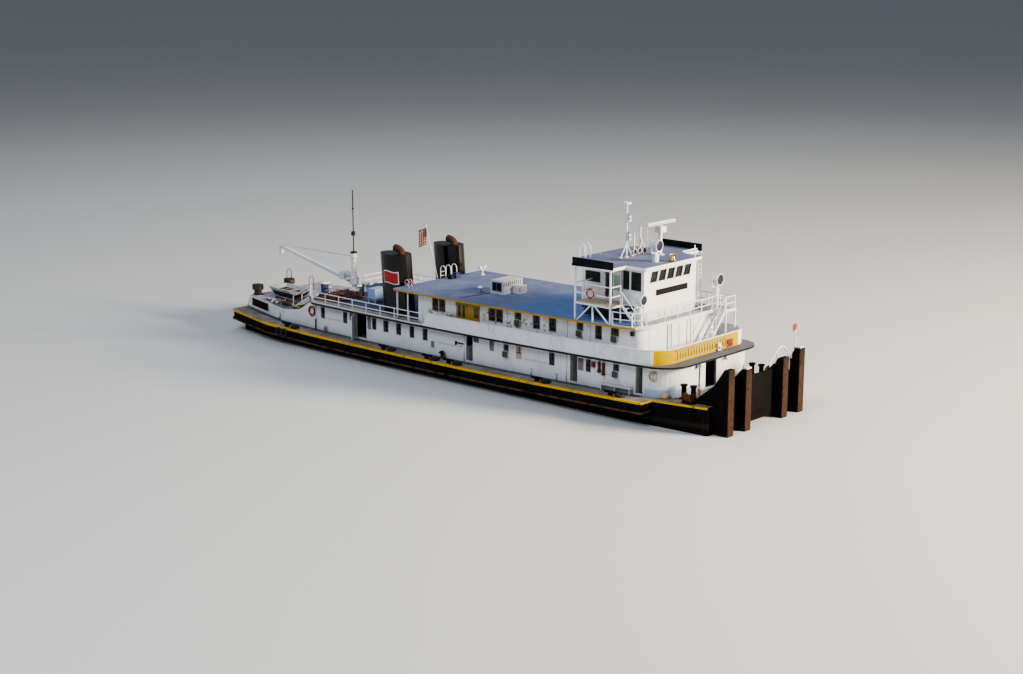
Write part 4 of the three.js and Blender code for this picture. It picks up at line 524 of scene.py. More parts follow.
roofTones = ((0.15, 0.19, 0.32), (0.21, 0.235, 0.345), (0.10, 0.185, 0.385))
crownTones = ((0.155, 0.18, 0.29), (0.21, 0.225, 0.32), (0.15, 0.18, 0.29))
paints = {
    "wall": wallPaint("wallPaint", deckZ, boatDeckZ, proud=4.65, blueFoot=True),
    "upperWall": wallPaint("upperWallPaint", boatDeckZ, roofZ, 0.30, 0.55, proud=4.22, flakes=True),
    "pilothouse": wallPaint("pilothousePaint", roofZ, eavesZ, 0.25, 0.4, skirt=True),
    "hull": hullPaint(),
    "guard": guardPaint(),
    "knee": kneePaint(),
    "casing": casingPaint(),
    "boatDeck": boatDeckPaint(),
    "roof": roofPaint("roofPaint", roofZ - 0.12, roofZ + 0.03, mustardColour, 15.9, roofTones, 6.0, landing=15.3),
    "crown": roofPaint("crownPaint", eavesZ, crownZ + 0.14, whiteColour, 30, crownTones, 40, boards=True),
    "bulwark": bulwarkPaint(),
    "skiff": skiffPaint(),
    "crane": cranePaintWithPaintedSunlight(),
    "white": wornPaint("whitePaint", whiteColour, spots=0.5, streaks=0.4),
    "gear": wornPaint("gearPaint", (0.62, 0.64, 0.66), dirt=0.6, spots=0.7, streaks=0.6),
    "mustard": wornPaint("mustardPaint", mustardColour, spots=0.4, streaks=0.5),
    "stack": wornPaint("stackPaint", (0.004, 0.0036, 0.0036), (0.05, 0.025, 0.015), 0.3, 0.2, 0.2, 0.2, 0.2,
                       Specular_IOR_Level=0.5),
    "elbow": wornPaint("elbowRust", (0.075, 0.030, 0.015), darkRust, 0.8, 0.5, 0.8, 0.85, 0.3, bump=0.7, reach=0.006),
    "bronze": wornPaint("propellerBronze", (0.45, 0.30, 0.12), verdigris, 0.6, 0.3, 0.6, 0.4, 0.3, Metallic=0.9),
    "engine": wornPaint("enginePaint", (0.10, 0.16, 0.12), dirt=0.6),
    "black": wornPaint("blackPaint", (0.009, 0.009, 0.009), dirt=0.5, spots=0.5, Specular_IOR_Level=0.25),
    "glass": glassPaint("windowGlass", (0.005, 0.006, 0.007)),
    "beigeBlind": glassPaint("windowBlind", (0.42, 0.36, 0.27), 0.35),
    "clearGlass": clearGlass("pilothouseGlass", (0.10, 0.12, 0.11)),
    "greenPane": glassPaint("greenPane", (0.30, 0.46, 0.33), 0.2),
    "red": wornPaint("redPaint", (0.20, 0.016, 0.014), dirt=0.5),
    "ringRed": wornPaint("ringRed", (0.20, 0.016, 0.020), dirt=0.5, spots=0.1, rub=0.1),
    "orange": wornPaint("ringOrange", (0.22, 0.045, 0.025), dirt=0.5, spots=0.1, rub=0.1),
    "panel": wornPaint("panelPaint", (0.40, 0.018, 0.016), dirt=0.3, spots=0.15, rub=0.2, roughness=0.35),
    "board": wornPaint("boardPaint", (0.008, 0.0075, 0.007), (0.06, 0.03, 0.015), 0.3, 0.2, 0.2, 0.6, 0.3,
                       Specular_IOR_Level=0.15),
    "waterway": wornPaint("waterwayPaint", (0.032, 0.055, 0.11), dirt=0.8, spots=0.8, roughness=0.6),
    "rust": wornPaint("bareRust", (0.10, 0.036, 0.018), darkRust, 0.8, 0.4, 0.8, 0.85, 0.3, bump=0.8, reach=0.006),
    "freshRust": wornPaint("freshRust", (0.30, 0.095, 0.03), (0.12, 0.045, 0.02), 0.8, 0.4, 0.8, 0.85, 0.3, bump=0.8,
                           reach=0.006),
    "rubber": wornPaint("fenderRubber", (0.016, 0.016, 0.017), (0.10, 0.09, 0.08), 0.6, 0.2, 0.3, 0.8, 0.4),
    "blueDrum": wornPaint("drumPaint", (0.016, 0.032, 0.11), dirt=0.5, spots=0.5),
    "yellow": wornPaint("yellowPaint", (0.62, 0.42, 0.03), dirt=0.5, spots=0.4),
    "beige": wornPaint("beigePaint", (0.50, 0.40, 0.22), dirt=0.5, spots=0.4),
    "plank": wornPaint("weatheredPlank", (0.26, 0.17, 0.10), (0.10, 0.06, 0.04), 0.8, 0.5, 0.5, 0.8, 0.3),
    "brass": wornPaint("bellBrass", (0.55, 0.37, 0.12), (0.12, 0.16, 0.10), 0.5, 0.2, 0.3, 0.3, 0.2, Metallic=0.9),
    "alloy": wornPaint("ladderAlloy", (0.42, 0.40, 0.36), dirt=0.5, roughness=0.4, Metallic=0.6),
    "grey": wornPaint("greyPaint", (0.24, 0.25, 0.27), dirt=0.5, spots=0.4),
    "lens": wornPaint("lampLens", (0.020, 0.026, 0.045), (0.06, 0.05, 0.05), 0.3, 0.1, 0.1, 0.45, 0.1,
                      Specular_IOR_Level=0.2),
    "innerDoor": wornPaint("innerDoorPaint", (0.46, 0.51, 0.48), dirt=0.7, spots=0.5),
    "darkGrey": wornPaint("darkGreyPaint", (0.075, 0.072, 0.068), dirt=0.5, spots=0.4),
    # near-black: the stern hoops' own paint, and painted shade behind the louvres and in the horn mouths
    "dark": wornPaint("blackPaintAndPaintedShade", (0.010, 0.010, 0.011), dirt=0.3, spots=0.1, roughness=0.8, rub=0.0),
    "ensign": clothPaint("ensignCloth", True),
    "pennant": clothPaint("pennantCloth", False),
}


def pairs(*names):
    return [f"{name}_{side}" for name in names for side in bothSides]


nodePaints = {
    "wall": pairs("main_wall") + ["main_wall_front", "main_wall_aft"],
    "upperWall": pairs("upper_wall") + ["upper_wall_front", "upper_wall_aft"],
    "pilothouse": pairs("pilothouse_wall", "wing") + [
        "pilothouse_base", "pilothouse_wall_front", "pilothouse_wall_aft"],
    "hull": ["hull"] + pairs("rudder") + [
        f"{name}_{end}" for name in pairs("flanking_rudder") for end in ("inner", "outer")],
    "guard": pairs("guard"),
    "knee": ["push_knees"],
    "casing": ["stern_casing"],
    "boatDeck": ["boat_deck"],
    "roof": ["roof_deck"],
    "crown": ["pilothouse_roof"],
    "bulwark": ["bulwark"],
    "white": pairs("main_door", "pilothouse_door", "front_door", "searchlight") + [
        "searchlight_roof", "rail_boat_deck", "rail_roof", "front_stairs", "mast", "radar_pedestal", "radar_scanner",
        "crane_jib", "hook_block"],
    "gear": ["hatch_house"],
    "mustard": pairs("upper_door"),
    "stack": pairs("stack"),
    "elbow": pairs("exhaust"),
    "bronze": pairs("propeller"),
    "engine": pairs("engine"),
    "crane": ["crane_post"],
    "skiff": ["skiff"],
}
for paintName, nodes in nodePaints.items():
    for node in nodes:
        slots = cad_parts[node].data.materials
        slots.clear()
        slots.append(paints[paintName])
print("paints made")

boxFaces = [(0, 2, 3, 1), (4, 5, 7, 6), (0, 1, 5, 4), (2, 6, 7, 3), (0, 4, 6, 2), (1, 3, 7, 5)]


def circle(sides):  # cosine and sine at each step round
    return [(math.cos(2 * math.pi * s / sides), math.sin(2 * math.pi * s / sides)) for s in range(sides)]


def ride(name, mesh, paint, body):
    mesh.materials.append(paints[paint])
    thing = newObject(name, mesh)
    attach(thing, body)
    return thing


# Corners in real metres above the sheer line, made into one mesh; a shape with a side is given as for port
class Shape:
    def __init__(self, station=None, side=None):
        self.corners, self.faces, self.rounds = [], [], []
        self.station, self.side, self.sign = station, side, bothSides.get(side, 1)

    def sided(self, point):
        return Vector((point[0], point[1] * self.sign, point[2]))

    def add(self, corners, faces, rounded=False):
        start = len(self.corners)
        self.corners += [Vector(corner) for corner in corners]
        self.faces += [[start + i for i in face] for face in faces]
        self.rounds += [rounded] * len(faces)
        return self

    def box(self, x0, x1, y0, y1, z0, z1):
        across = sorted((y0 * self.sign, y1 * self.sign))
        return self.add([(x, y, z) for z in (z0, z1) for y in across for x in (x0, x1)], boxFaces)

    def surround(self, x0, x1, y0, y1, z0, z1, wide):  # a frame round an opening
        for a, b, c, d in ((x0 - wide, x0, z0 - wide, z1 + wide), (x1, x1 + wide, z0 - wide, z1 + wide),
                           (x0, x1, z1, z1 + wide), (x0, x1, z0 - wide, z0)):
            self.box(a, b, y0, y1, c, d)

    def slab(self, outline, z0, z1):  # outline of (x, y), turning left
        outline = [(x, y * self.sign) for x, y in outline][::self.sign]
        count = len(outline)
        sides = [(i, (i + 1) % count, count + (i + 1) % count, count + i) for i in range(count)]
        return self.add([(x, y, z) for z in (z0, z1) for x, y in outline],
                        [range(count)[::-1], range(count, 2 * count)] + sides)

    def loft(self, corners):  # sections of four corners, each given in two rows
        last = len(corners) - 4
        ends = [(0, 1, 3, 2), (last, last + 2, last + 3, last + 1)]
        walls = [(i + a, i + b, i + b + 4, i + a + 4)
                 for i in range(0, last, 4) for a, b in ((0, 1), (1, 3), (3, 2), (2, 0))]
        return self.add([self.sided(corner) for corner in corners], ends + walls)

    def capped(self, corners, sides):  # rows that go once round, joined and closed at both ends
        count = len(corners)
        self.add(corners, [(i + s, i + (s + 1) % sides, i + sides + (s + 1) % sides, i + sides + s)
                           for i in range(0, count - sides, sides) for s in range(sides)], True)
        start = len(self.corners) - count
        self.faces += [[start + s for s in range(sides)[::-1]], [start + s for s in range(count - sides, count)]]
        self.rounds += [False, False]
        return self

    def tube(self, points, radius, sides=8, tip=None):
        points, tip = [self.sided(point) for point in points], radius if tip is None else tip
        last = len(points) - 1
        ahead = [(points[min(i + 1, last)] - points[max(i - 1, 0)]).normalized() for i in range(last + 1)]
        across = ahead[0].orthogonal().normalized()
        corners = []
        for i, point in enumerate(points):
            if i:
                across = (ahead[i - 1].rotation_difference(ahead[i]) @ across).normalized()
            up, reach = ahead[i].cross(across), radius + (tip - radius) * i / last
            corners += [point + (across * c + up * s) * reach for c, s in circle(sides)]
        return self.capped(corners, sides)

    def post(self, x, y, z0, z1, radius, sides=8, tip=None):
        return self.tube([(x, y, z0), (x, y, z1)], radius, sides, tip)

    def spun(self, points, centre, axis):
        spin = Vector((0, 0, 1)).rotation_difference(self.sided(axis).normalized())
        return [spin @ Vector(point) + self.sided(centre) for point in points]

    def turned(self, profile, centre, axis=(0, 0, 1), sides=16):  # profile of (radius, height) along the axis
        points = [(radius * c, radius * s, rise) for radius, rise in profile for c, s in circle(sides)]
        return self.capped(self.spun(points, centre, axis), sides)

    def ring(self, centre, radius, thick, axis=(0, 0, 1), turns=24, sides=8):
        points = [((radius + thick * a) * c, (radius + thick * a) * s, thick * b)
                  for c, s in circle(turns) for a, b in circle(sides)]
        faces = [(t * sides + s, (t + 1) % turns * sides + s, (t + 1) % turns * sides + (s + 1) % sides,
                  t * sides + (s + 1) % sides) for t in range(turns) for s in range(sides)]
        return self.add(self.spun(points, centre, axis), faces, True)

    def piece(self, name, paint, body="boat", slot="house_white", bevel=0.0):
        mesh = bpy.data.meshes.new(name)
        places = []
        for x, y, z in self.corners:
            lift = sheerAt(x if self.station is None else self.station)
            places.append((x * half, y * half, (z + lift) * half))
        mesh.from_pydata(places, [], self.faces)
        mesh.polygons.foreach_set("use_smooth", self.rounds)
        made = bmesh.new()
        made.from_mesh(mesh)
        bmesh.ops.recalc_face_normals(made, faces=made.faces)
        if bevel:
            sharp = [edge for edge in made.edges if edge.is_manifold and edge.calc_face_angle() > 0.9]
            bmesh.ops.bevel(made, geom=sharp, offset=bevel * half, segments=1, affect="EDGES")
        made.to_mesh(mesh)
        made.free()
        ride(f"{name}_{self.side}" if self.side else name, mesh, paint, body)


def shapes(count, station=None, side=None):
    return [Shape(station, side) for _ in range(count)]


# Windows: glass in every opening, frames round it, a bar across it; coolers stand in some
houses = {
    "main": {
        "half": 4.59, "sill": 4.78, "head": 5.62, "frame": "white", "bar": 0.022,
        "coolers": (5.3, 14.68), "blinds": (6.44,),
        "rows": [(-12.97, 0.42), (-10.55, 0.45), (-7.48, 0.45), (-6.27, 0.52), (-4.97, 0.5), (-3.64, 0.46),
                 (-2.33, 0.48), (5.3, 0.46), (6.44, 0.48), (9.33, 0.47), (12.41, 0.42), (14.68, 0.48)]},
    "upper": {
        "half": 4.16, "sill": 6.94, "head": 7.8, "frame": "mustard", "bar": 0.035,
        "coolers": (5.98, 11.33, 14.2), "blinds": (),
        "rows": [(-1.72, 0.55), (-1.06, 0.55), (3.62, 0.58), (4.3, 0.58), (5.98, 0.54), (7.6, 0.56), (9.0, 0.58),
                 (11.33, 0.5), (12.87, 0.5), (14.2, 0.6)]},
}
cooler = {"rise": 0.38, "half": 0.19, "rim": 0.05, "face": 0.15, "slats": 6, "foot": 0.03, "pitch": 0.055,
          "slat": 0.025}
for houseName, house in houses.items():
    wall, sill, head, bar = house["half"], house["sill"], house["head"], house["bar"]
    face, wide = wall + cooler["face"], cooler["half"]
    for side in bothSides:
        glass, blinds, frames, bars, grilles = shapes(5, None, side)
        for x, width in house["rows"]:
            a, b = x - width / 2, x + width / 2
            foot = sill + (cooler["rise"] if x in house["coolers"] else 0)
            middle, inner = (foot + head) / 2, wall - 0.045
            pane = blinds if x in house["blinds"] else glass
            pane.box(a + gap, b - gap, inner - 0.015, inner, foot + gap, head - gap)
            frames.surround(a, b, wall, wall + 0.02, foot, head, bar)
            frames.box(a - bar - 0.02, b + bar + 0.02, wall, wall + 0.05, head + bar, head + bar + 0.02)
            bars.box(a + 0.005, b - 0.005, inner, wall, middle - 0.015, middle + 0.015)
            bars.box(x - 0.012, x + 0.012, inner, wall, middle + 0.015, head - gap)
        for x in house["coolers"]:
            for i in range(cooler["slats"]):
                z = sill + cooler["foot"] + i * cooler["pitch"]
                grilles.box(x - wide, x + wide, face, face + 0.02, z, z + cooler["slat"])
            wider = wide + cooler["rim"]
            grilles.box(x - wider, x + wider, face, face + 0.008, sill - 0.02, sill + cooler["rise"])
        glass.piece(houseName + "WindowGlass", "glass")
        if house["blinds"]:
            blinds.piece(houseName + "WindowBlind", "beigeBlind")
        frames.piece(houseName + "WindowFrames", house["frame"])
        bars.piece(houseName + "WindowBars", "board")
        grilles.piece(houseName + "CoolerGrilles", "darkGrey")
print("house windows made")

# The main house wall, along and up: louvres, rails, pipes, doorways with the tops of their open leaves
mainWall = {
    "louvres": [(-10.02, -9.74, 5.12, 5.62), (-8.12, -7.86, 4.78, 5.64), (3.84, 4.16, 5.03, 5.7),
                (11.6, 11.98, 4.85, 5.58), (-1.7, -1.46, 4.44, 4.82), (2.36, 2.76, 5.4, 5.7)],
    "bladePitch": 0.07,
    "grabRails": [(-12.6, -11.0), (-1.2, 1.3), (7.0, 9.0), (13.0, 14.3)],
    "drainPipes": [-13.7, 1.45, 10.6],
    "doorways": [(1.62, 2.24, 4.95), (10.9, 11.5, 5.68), (16.25, 16.8, 5.68)],
    "waterway": [(-22.6, 3.58), (-17.3, 4.62), (16.86, 4.62)],
}
for side in bothSides:
    vents, slots, trim, leaves, gear, pale, boxes, strip = shapes(8, None, side)
    for x0, x1, z0, z1 in mainWall["louvres"]:
        slots.box(x0, x1, 4.585, 4.6, z0, z1)
        vents.surround(x0, x1, 4.59, 4.625, z0, z1, 0.03)
        blades = int((z1 - z0) / mainWall["bladePitch"])
        for i in range(blades):
            z = z0 + (i + 0.3) * (z1 - z0) / blades
            section = ((4.598, z + 0.045), (4.602, z + 0.05), (4.62, z), (4.626, z + 0.005))
            vents.loft([(x, y, h) for x in (x0, x1) for y, h in section])
    vents.piece("louvres", "grey")
    # painted shade: near-black sheets behind the blades for the dark inside of the vents
    slots.piece("louvreBacksPaintedShade", "dark")

    for x0, x1 in mainWall["grabRails"]:
        trim.tube([(x0, 4.59, 4.92), (x0, 4.67, 4.92), (x1, 4.67, 4.92), (x1, 4.59, 4.92)], 0.018, 6)
    for x in mainWall["drainPipes"]:
        trim.post(x, 4.63, 3.9, 5.8, 0.03, 6)
    for x0, x1, top in mainWall["doorways"]:
        for a, b, z0, z1 in ((x0 - 0.045, x0, 3.94, 5.73), (x1, x1 + 0.045, 3.94, 5.73),
                             (x0, x1, 5.68, 5.73), (x0, x1, 3.93, 3.98)):
            trim.box(a, b, 4.57, 4.61, z0, z1)
        leaves.box(x0 - 0.04, x0 - 0.005, 3.8, 4.44, 3.9, top)  # folded back inside
        for z0, z1 in ((4.0, 4.62), (4.72, top - 0.1)):
            leaves.box(x0 - 0.005, x0 + 0.008, 3.87, 4.37, z0, z1)
        leaves.turned([(0.025, 0), (0.03, 0.03), (0.02, 0.045)], (x0 - 0.005, 3.84, 4.67), (1, 0, 0), 10)
    trim.piece("mainWallTrim", "white")
    leaves.piece("innerDoors", "innerDoor")

    gear.turned([(0.16, 0), (0.16, 0.05), (0.11, 0.06), (0.11, 0.42), (0.15, 0.43), (0.15, 0.5)],
                (-0.44, 4.86, onDeck), sides=12)
    gear.box(-0.72, -0.16, 4.82, 4.90, 4.18, 4.26)
    gear.box(0.66, 1.42, 4.60, 4.66, 5.06, 5.13)
    gear.box(0.66, 0.74, 4.59, 4.72, 4.95, 5.2)
    gear.tube([(-13.7, 4.7, 3.87), (-13.7, 4.7, 4.6), (-13.55, 4.75, 4.66)], 0.04)
    gear.piece("sideDeckFittings", "black", slot="hull")

    for x in (7.59, 9.79):
        pale.post(x, 4.72, paintedDeck, 4.32, 0.04)
        pale.turned([(0.07, 0), (0.07, 0.03)], (x, 4.72, 4.32), sides=10)
    pale.box(13.6, 16.1, 4.66, 4.96, 4.22, 4.28)
    for x in (13.7, 14.8, 15.95):
        pale.box(x, x + 0.06, 4.68, 4.94, paintedDeck, 4.22)
    pale.box(13.6, 16.1, 4.62, 4.65, 4.3, 4.5)
    pale.turned([(0.09, 0), (0.09, 0.4), (0.13, 0.42), (0.10, 0.55), (0.02, 0.6)],
                (-12.53, 4.84, paintedDeck), sides=12)
    pale.tube([(-12.53, 4.84, 4.18), (-12.53, 5.02, 4.18)], 0.05)
    pale.piece("sideDeckBench", "gear")
    boxes.box(12.74, 13.0, 4.59, 4.72, 5.17, 5.52).piece("fireBox", "red", bevel=0.01)

    for (x0, y0), (x1, y1) in zip(mainWall["waterway"], mainWall["waterway"][1:]):  # dark paint on the deck
        run = [(x0 + (x1 - x0) * i / 12, y0 + (y1 - y0) * i / 12) for i in range(13)]
        for (a, ya), (b, yb) in zip(run, run[1:]):
            strip.slab([(a, ya), (b, yb), (b, yb + 0.4), (a, ya + 0.4)], paintedDeck, deckZ + 0.008)
    strip.piece("waterway", "waterway", slot="boat_deck_grey")
print("main house fittings made")


def lifeRing(name, centre, radius, thick, paint):  # a ring with four wraps
    Shape().ring(centre, radius, thick, (0, 1, 0), 28, 10).piece(name, paint)
    wraps, proud = Shape(), thick + 0.012
    section = [(radius + proud * c, proud * s) for c, s in circle(12)]
    for i in range(4):
        angle = math.pi / 4 + i * math.pi / 2
        for start, end in zip(section, section[1:] + section[:1]):
            corners = [Vector(centre) + Vector((reach * math.cos(a), out, reach * math.sin(a)))
                       for a in (angle - 0.11, angle + 0.11) for reach, out in (start, end)]
            wraps.add(corners, [(0, 1, 3, 2)], True)
    wraps.piece(name + "Wraps", "beige")


for side, sign in bothSides.items():
    lifeRing(f"sternLifeRing_{side}", (-14.13, 4.67 * sign, 5.16), 0.31, 0.068, "ringRed")
    lifeRing(f"wingLifeRing_{side}", (12.54, 4.62 * sign, 9.92), 0.29, 0.062, "orange")

# Upper house: mustard panels, frames and lites at the doors, pipes, floodlights at the corners
for side in bothSides:
    panels, slits, pipes, lamp = shapes(4, None, side)
    lites, edges = shapes(2, 1.3, side)
    panels.box(1.4, 2.5, 4.16, 4.2, 6.0, 7.86)
    for x0, x1 in ((1.45, 1.92), (1.98, 2.45)):
        panels.box(x0, x1, 4.2, 4.215, 6.1, 7.78)
    for x0, x1, z0 in ((0.34, 0.385, 6.04), (1.345, 1.39, 6.04), (0.34, 1.39, 7.89)):
        panels.box(x0, x1, 4.14, 4.19, z0, 7.93)
    panels.piece("mustardPanels", "mustard", slot="door_mustard")
    for x in (2.03, 2.17, 2.31):  # narrow lites in the fixed panel
        slits.box(x, x + 0.1, 4.216, 4.222, 6.95, 7.68)
    slits.piece("mustardPanelLites", "glass")
    for x in (0.52, 0.92):
        lites.box(x, x + 0.24, 4.211, 4.218, 6.85, 7.68)
        edges.surround(x, x + 0.24, 4.211, 4.226, 6.85, 7.68, 0.03)
    edges.turned([(0.03, 0), (0.035, 0.03), (0.02, 0.05)], (0.46, 4.211, 6.62), (0, 1, 0), 10)
    lites.piece("upperDoorLites", "glass", f"upper_door_{side}")
    edges.piece("upperDoorFrames", "mustard", f"upper_door_{side}", "door_mustard")
    for x in (0.29, 5.0, 10.28, 12.2):
        pipes.post(x, 4.205, 5.95, 7.93, 0.035)
        for z in (6.5, 7.5):
            pipes.box(x - 0.06, x + 0.06, 4.16, 4.2, z, z + 0.05)
    pipes.piece("upperWallPipes", "white")
    lamp.box(15.55, 15.8, 4.16, 4.36, 7.5, 7.78).piece("cornerFloodlight", "black", bevel=0.02)

front = Shape()
for y in (-3.2, -1.1, 1.5):
    front.post(16.215, y, 5.95, 7.93, 0.012)
front.box(16.2, 16.225, -0.15, 0.7, 6.02, 7.84)
for z in (6.12, 7.0):
    front.box(16.225, 16.24, -0.05, 0.6, z, z + 0.74)
front.piece("upperFrontTrim", "white")
print("upper house fittings made")

# Pilothouse: panes, frames, boards, ladder and roof gear, all on its level station
for side in bothSides:
    panes, frames = shapes(2, pilot, side)
    for x0, x1, z0, z1 in ((10.6, 11.85, 10.25, 10.95), (13.68, 14.22, 10.1, 11.3), (14.34, 15.18, 10.1, 11.3)):
        panes.box(x0 + gap, x1 - gap, 2.72, 2.735, z0 + gap, z1 - gap)
        frames.surround(x0, x1, 2.78, 2.80, z0, z1, 0.03)
    panes.piece("pilothouseSideGlass", "clearGlass")
    frames.piece("pilothouseSideFrames", "white")

front, frames, aft = shapes(3, pilot)
for i in range(5):
    y = (i - 2) * 0.88
    leaning = ((y - 0.48, 10.6), (y + 0.26, 10.6), (y - 0.26, 11.3), (y + 0.48, 11.3))
    front.loft([(x, v, z) for x in (15.335, 15.35) for v, z in leaning])
    frames.box(15.4, 15.42, y - 0.51, y + 0.29, 10.565, 10.6)
    frames.box(15.4, 15.42, y - 0.29, y + 0.51, 11.3, 11.335)
    for v in (y - 0.5, y + 0.24):
        frames.tube([(15.41, v, 10.58), (15.41, v + 0.22, 11.32)], 0.02, 6)
front.piece("pilothouseFrontGlass", "clearGlass")
frames.piece("pilothouseFrontFrames", "white")
for y in (-1.6, 0, 1.6):
    aft.box(10.34, 10.355, y - 0.546, y + 0.546, 10.454, 11.296)
aft.piece("pilothouseAftGlass", "clearGlass")
Shape(pilot).box(15.4, 15.45, -1.55, 1.77, 9.70, 10.08).piece("frontBoard", "board", bevel=0.01)

doorPane = {"pin": (12.93, 2.8107), "leafAngle": {"starboard": 355, "port": 180}, "reach": (0.08, 0.62),
            "faces": (-0.024, 0.024), "height": (9.95, 10.95)}
for side, turnBy in doorPane["leafAngle"].items():
    c, s = math.cos(math.radians(turnBy)), math.sin(math.radians(turnBy))
    x, y = doorPane["pin"]
    corners = [(x + c * reach + s * away, y - s * reach + c * away, z) for away in doorPane["faces"]
               for reach in doorPane["reach"] for z in doorPane["height"]]
    Shape(pilot, side).loft(corners).piece("pilothouseDoorPane", "greenPane", f"pilothouse_door_{side}")

ladder, horns, mouths, whips, bell, lamps = shapes(6, pilot)
for y in (2.8, 3.12):
    ladder.post(15.5, y, 8.3, 11.3, 0.025, 6)
for i in range(10):
    ladder.tube([(15.5, 2.8, 8.5 + i * 0.29), (15.5, 3.12, 8.5 + i * 0.29)], 0.018, 6)
ladder.piece("pilothouseLadder", "white")

for y, z in ((0.02, 11.98), (0.5, 12.0), (0.98, 11.95)):
    horns.turned([(0.05, 0), (0.05, 0.3), (0.08, 0.42), (0.14, 0.5), (0.21, 0.53)], (11.95, y, z), (1, 0, 0))
    horns.post(12.05, y, crownZ, z, 0.035)
    mouths.turned([(0.17, 0), (0.165, 0.01)], (12.482, y, z), (1, 0, 0))
horns.piece("horns", "white")
# painted shade: near-black discs in the mouths for the dark inside of the horns
mouths.piece("hornMouthsPaintedShade", "dark")
whips.post(11.7, 2.3, crownZ, 13.45, 0.02, 6, 0.008)
whips.post(10.6, -1.3, crownZ, 12.6, 0.018, 6, 0.01)
whips.piece("whips", "white")
bell.turned([(0.02, 0.34), (0.10, 0.32), (0.15, 0.22), (0.17, 0.10), (0.23, 0.02), (0.25, 0)],
            (15.45, 0.1, 11.78), sides=20)
bell.tube([(15.45, -0.22, crownZ), (15.45, -0.22, 12.2), (15.45, 0.42, 12.2), (15.45, 0.42, crownZ)], 0.03, 6)
bell.piece("bell", "brass")
print("pilothouse fittings made")

for z in (14.36, 14.13, 13.18, 12.92):
    lamps.turned([(0.07, 0), (0.07, 0.14), (0.03, 0.17)], (12.5, -0.7, z + 0.08), sides=10)
lamps.piece("mastLamps", "grey")
Shape(pilot).box(13.52, 13.53, 0.04, 2.86, 13.745, 13.85).piece("scannerFace", "beige", "radar_scanner")

searchlights = {
    "starboard": {"place": (15.8, -3.7, 9.22), "radius": 0.33, "length": 0.6, "station": 15.8},
    "port": {"place": (16.4, 3.62, 9.5), "radius": 0.38, "length": 0.62, "station": 16.4},
    "roof": {"place": (14.7, -0.75, 12.2), "radius": 0.36, "length": 0.62, "station": pilot},
}
for lampName, light in searchlights.items():
    (x, y, foot), radius, reach = light["place"], light["radius"], light["length"] / 2
    z, body = foot + radius + 0.2, f"searchlight_{lampName}"
    lens, rim = shapes(2, light["station"])
    lens.turned([(radius * 0.90, 0), (radius * 0.86, 0.015), (radius * 0.55, 0.03), (0.04, 0.035)],
                (x + reach + 0.001, y, z), (1, 0, 0), 24)
    lens.piece(f"searchlightLens_{lampName}", "lens", body)
    rim.ring((x + reach, y, z), radius * 0.97, 0.028, (1, 0, 0), 28, 8)
    rim.ring((x - reach + 0.06, y, z), radius * 0.80, 0.02, (1, 0, 0), 24, 6)
    for i in range(4):
        angle = math.pi / 4 + i * math.pi / 2
        c, s = radius * 0.93 * math.cos(angle), radius * 0.93 * math.sin(angle)
        rim.tube([(x - reach + 0.05, y + c * 0.86, z + s * 0.86), (x + reach, y + c * 1.04, z + s * 1.04)], 0.014, 6)
    rim.piece(f"searchlightRim_{lampName}", "white", body)

# Stacks: a blank red panel with a white border, wrapped round the oval, which leans aft
stackPanels = {
    "stackPanelBorder": {"paint": "white", "proud": 0.012, "angles": (-110.5, -48.5), "heights": (8.1, 9.0)},
    "stackPanel": {"paint": "panel", "proud": 0.022, "angles": (-108, -51), "heights": (8.17, 8.93)},
}
stackX, stackY, stackLong, stackWide, stackRake = -6.78, 2.71, 1.3, 0.92, 0.075
for side in bothSides:
    for name, panel in stackPanels.items():
        (first, last), proud, corners = panel["angles"], panel["proud"], []
        for i in range(13):
            angle = math.radians(first + (last - first) * i / 12)
            wave = 0.05 * math.sin(2 * math.pi * i / 12)
            for z in [height + wave for height in panel["heights"]]:
                for spread in (proud - 0.03, proud):
                    x = stackX - stackRake * (z - boatDeckZ) + (stackLong + spread) * math.cos(angle)
                    corners.append((x, stackY - (stackWide + spread) * math.sin(angle), z))
        Shape(stackX, side).loft(corners).piece(name, panel["paint"], slot="stack_black")
print("stack panels made")

# Crane: bands up the post, wire on the winch
bands, wire = shapes(2, -14.5)
for i in range(6):
    bands.ring((-14.5, 0, 7.15 + i * 0.25), 0.207, 0.022, turns=20)
bands.piece("craneBands", "gear")
for i in range(13):
    wire.ring((-15.5, -0.3 + i * 0.05, 7.08), 0.262, 0.026, (0, 1, 0), 20, 6)
wire.piece("winchWindings", "gear", "crane_jib")

# Deck gear beside the crane: ratchets, chain, posts and timber, from a seeded draw
random.seed(7)
heap = {kind: Shape() for kind in ("rust", "freshRust", "plank")}


def reached(far, rise=0.0):  # a point along the line of the thing being laid down
    return x + dx * far, y + dy * far, z + rise


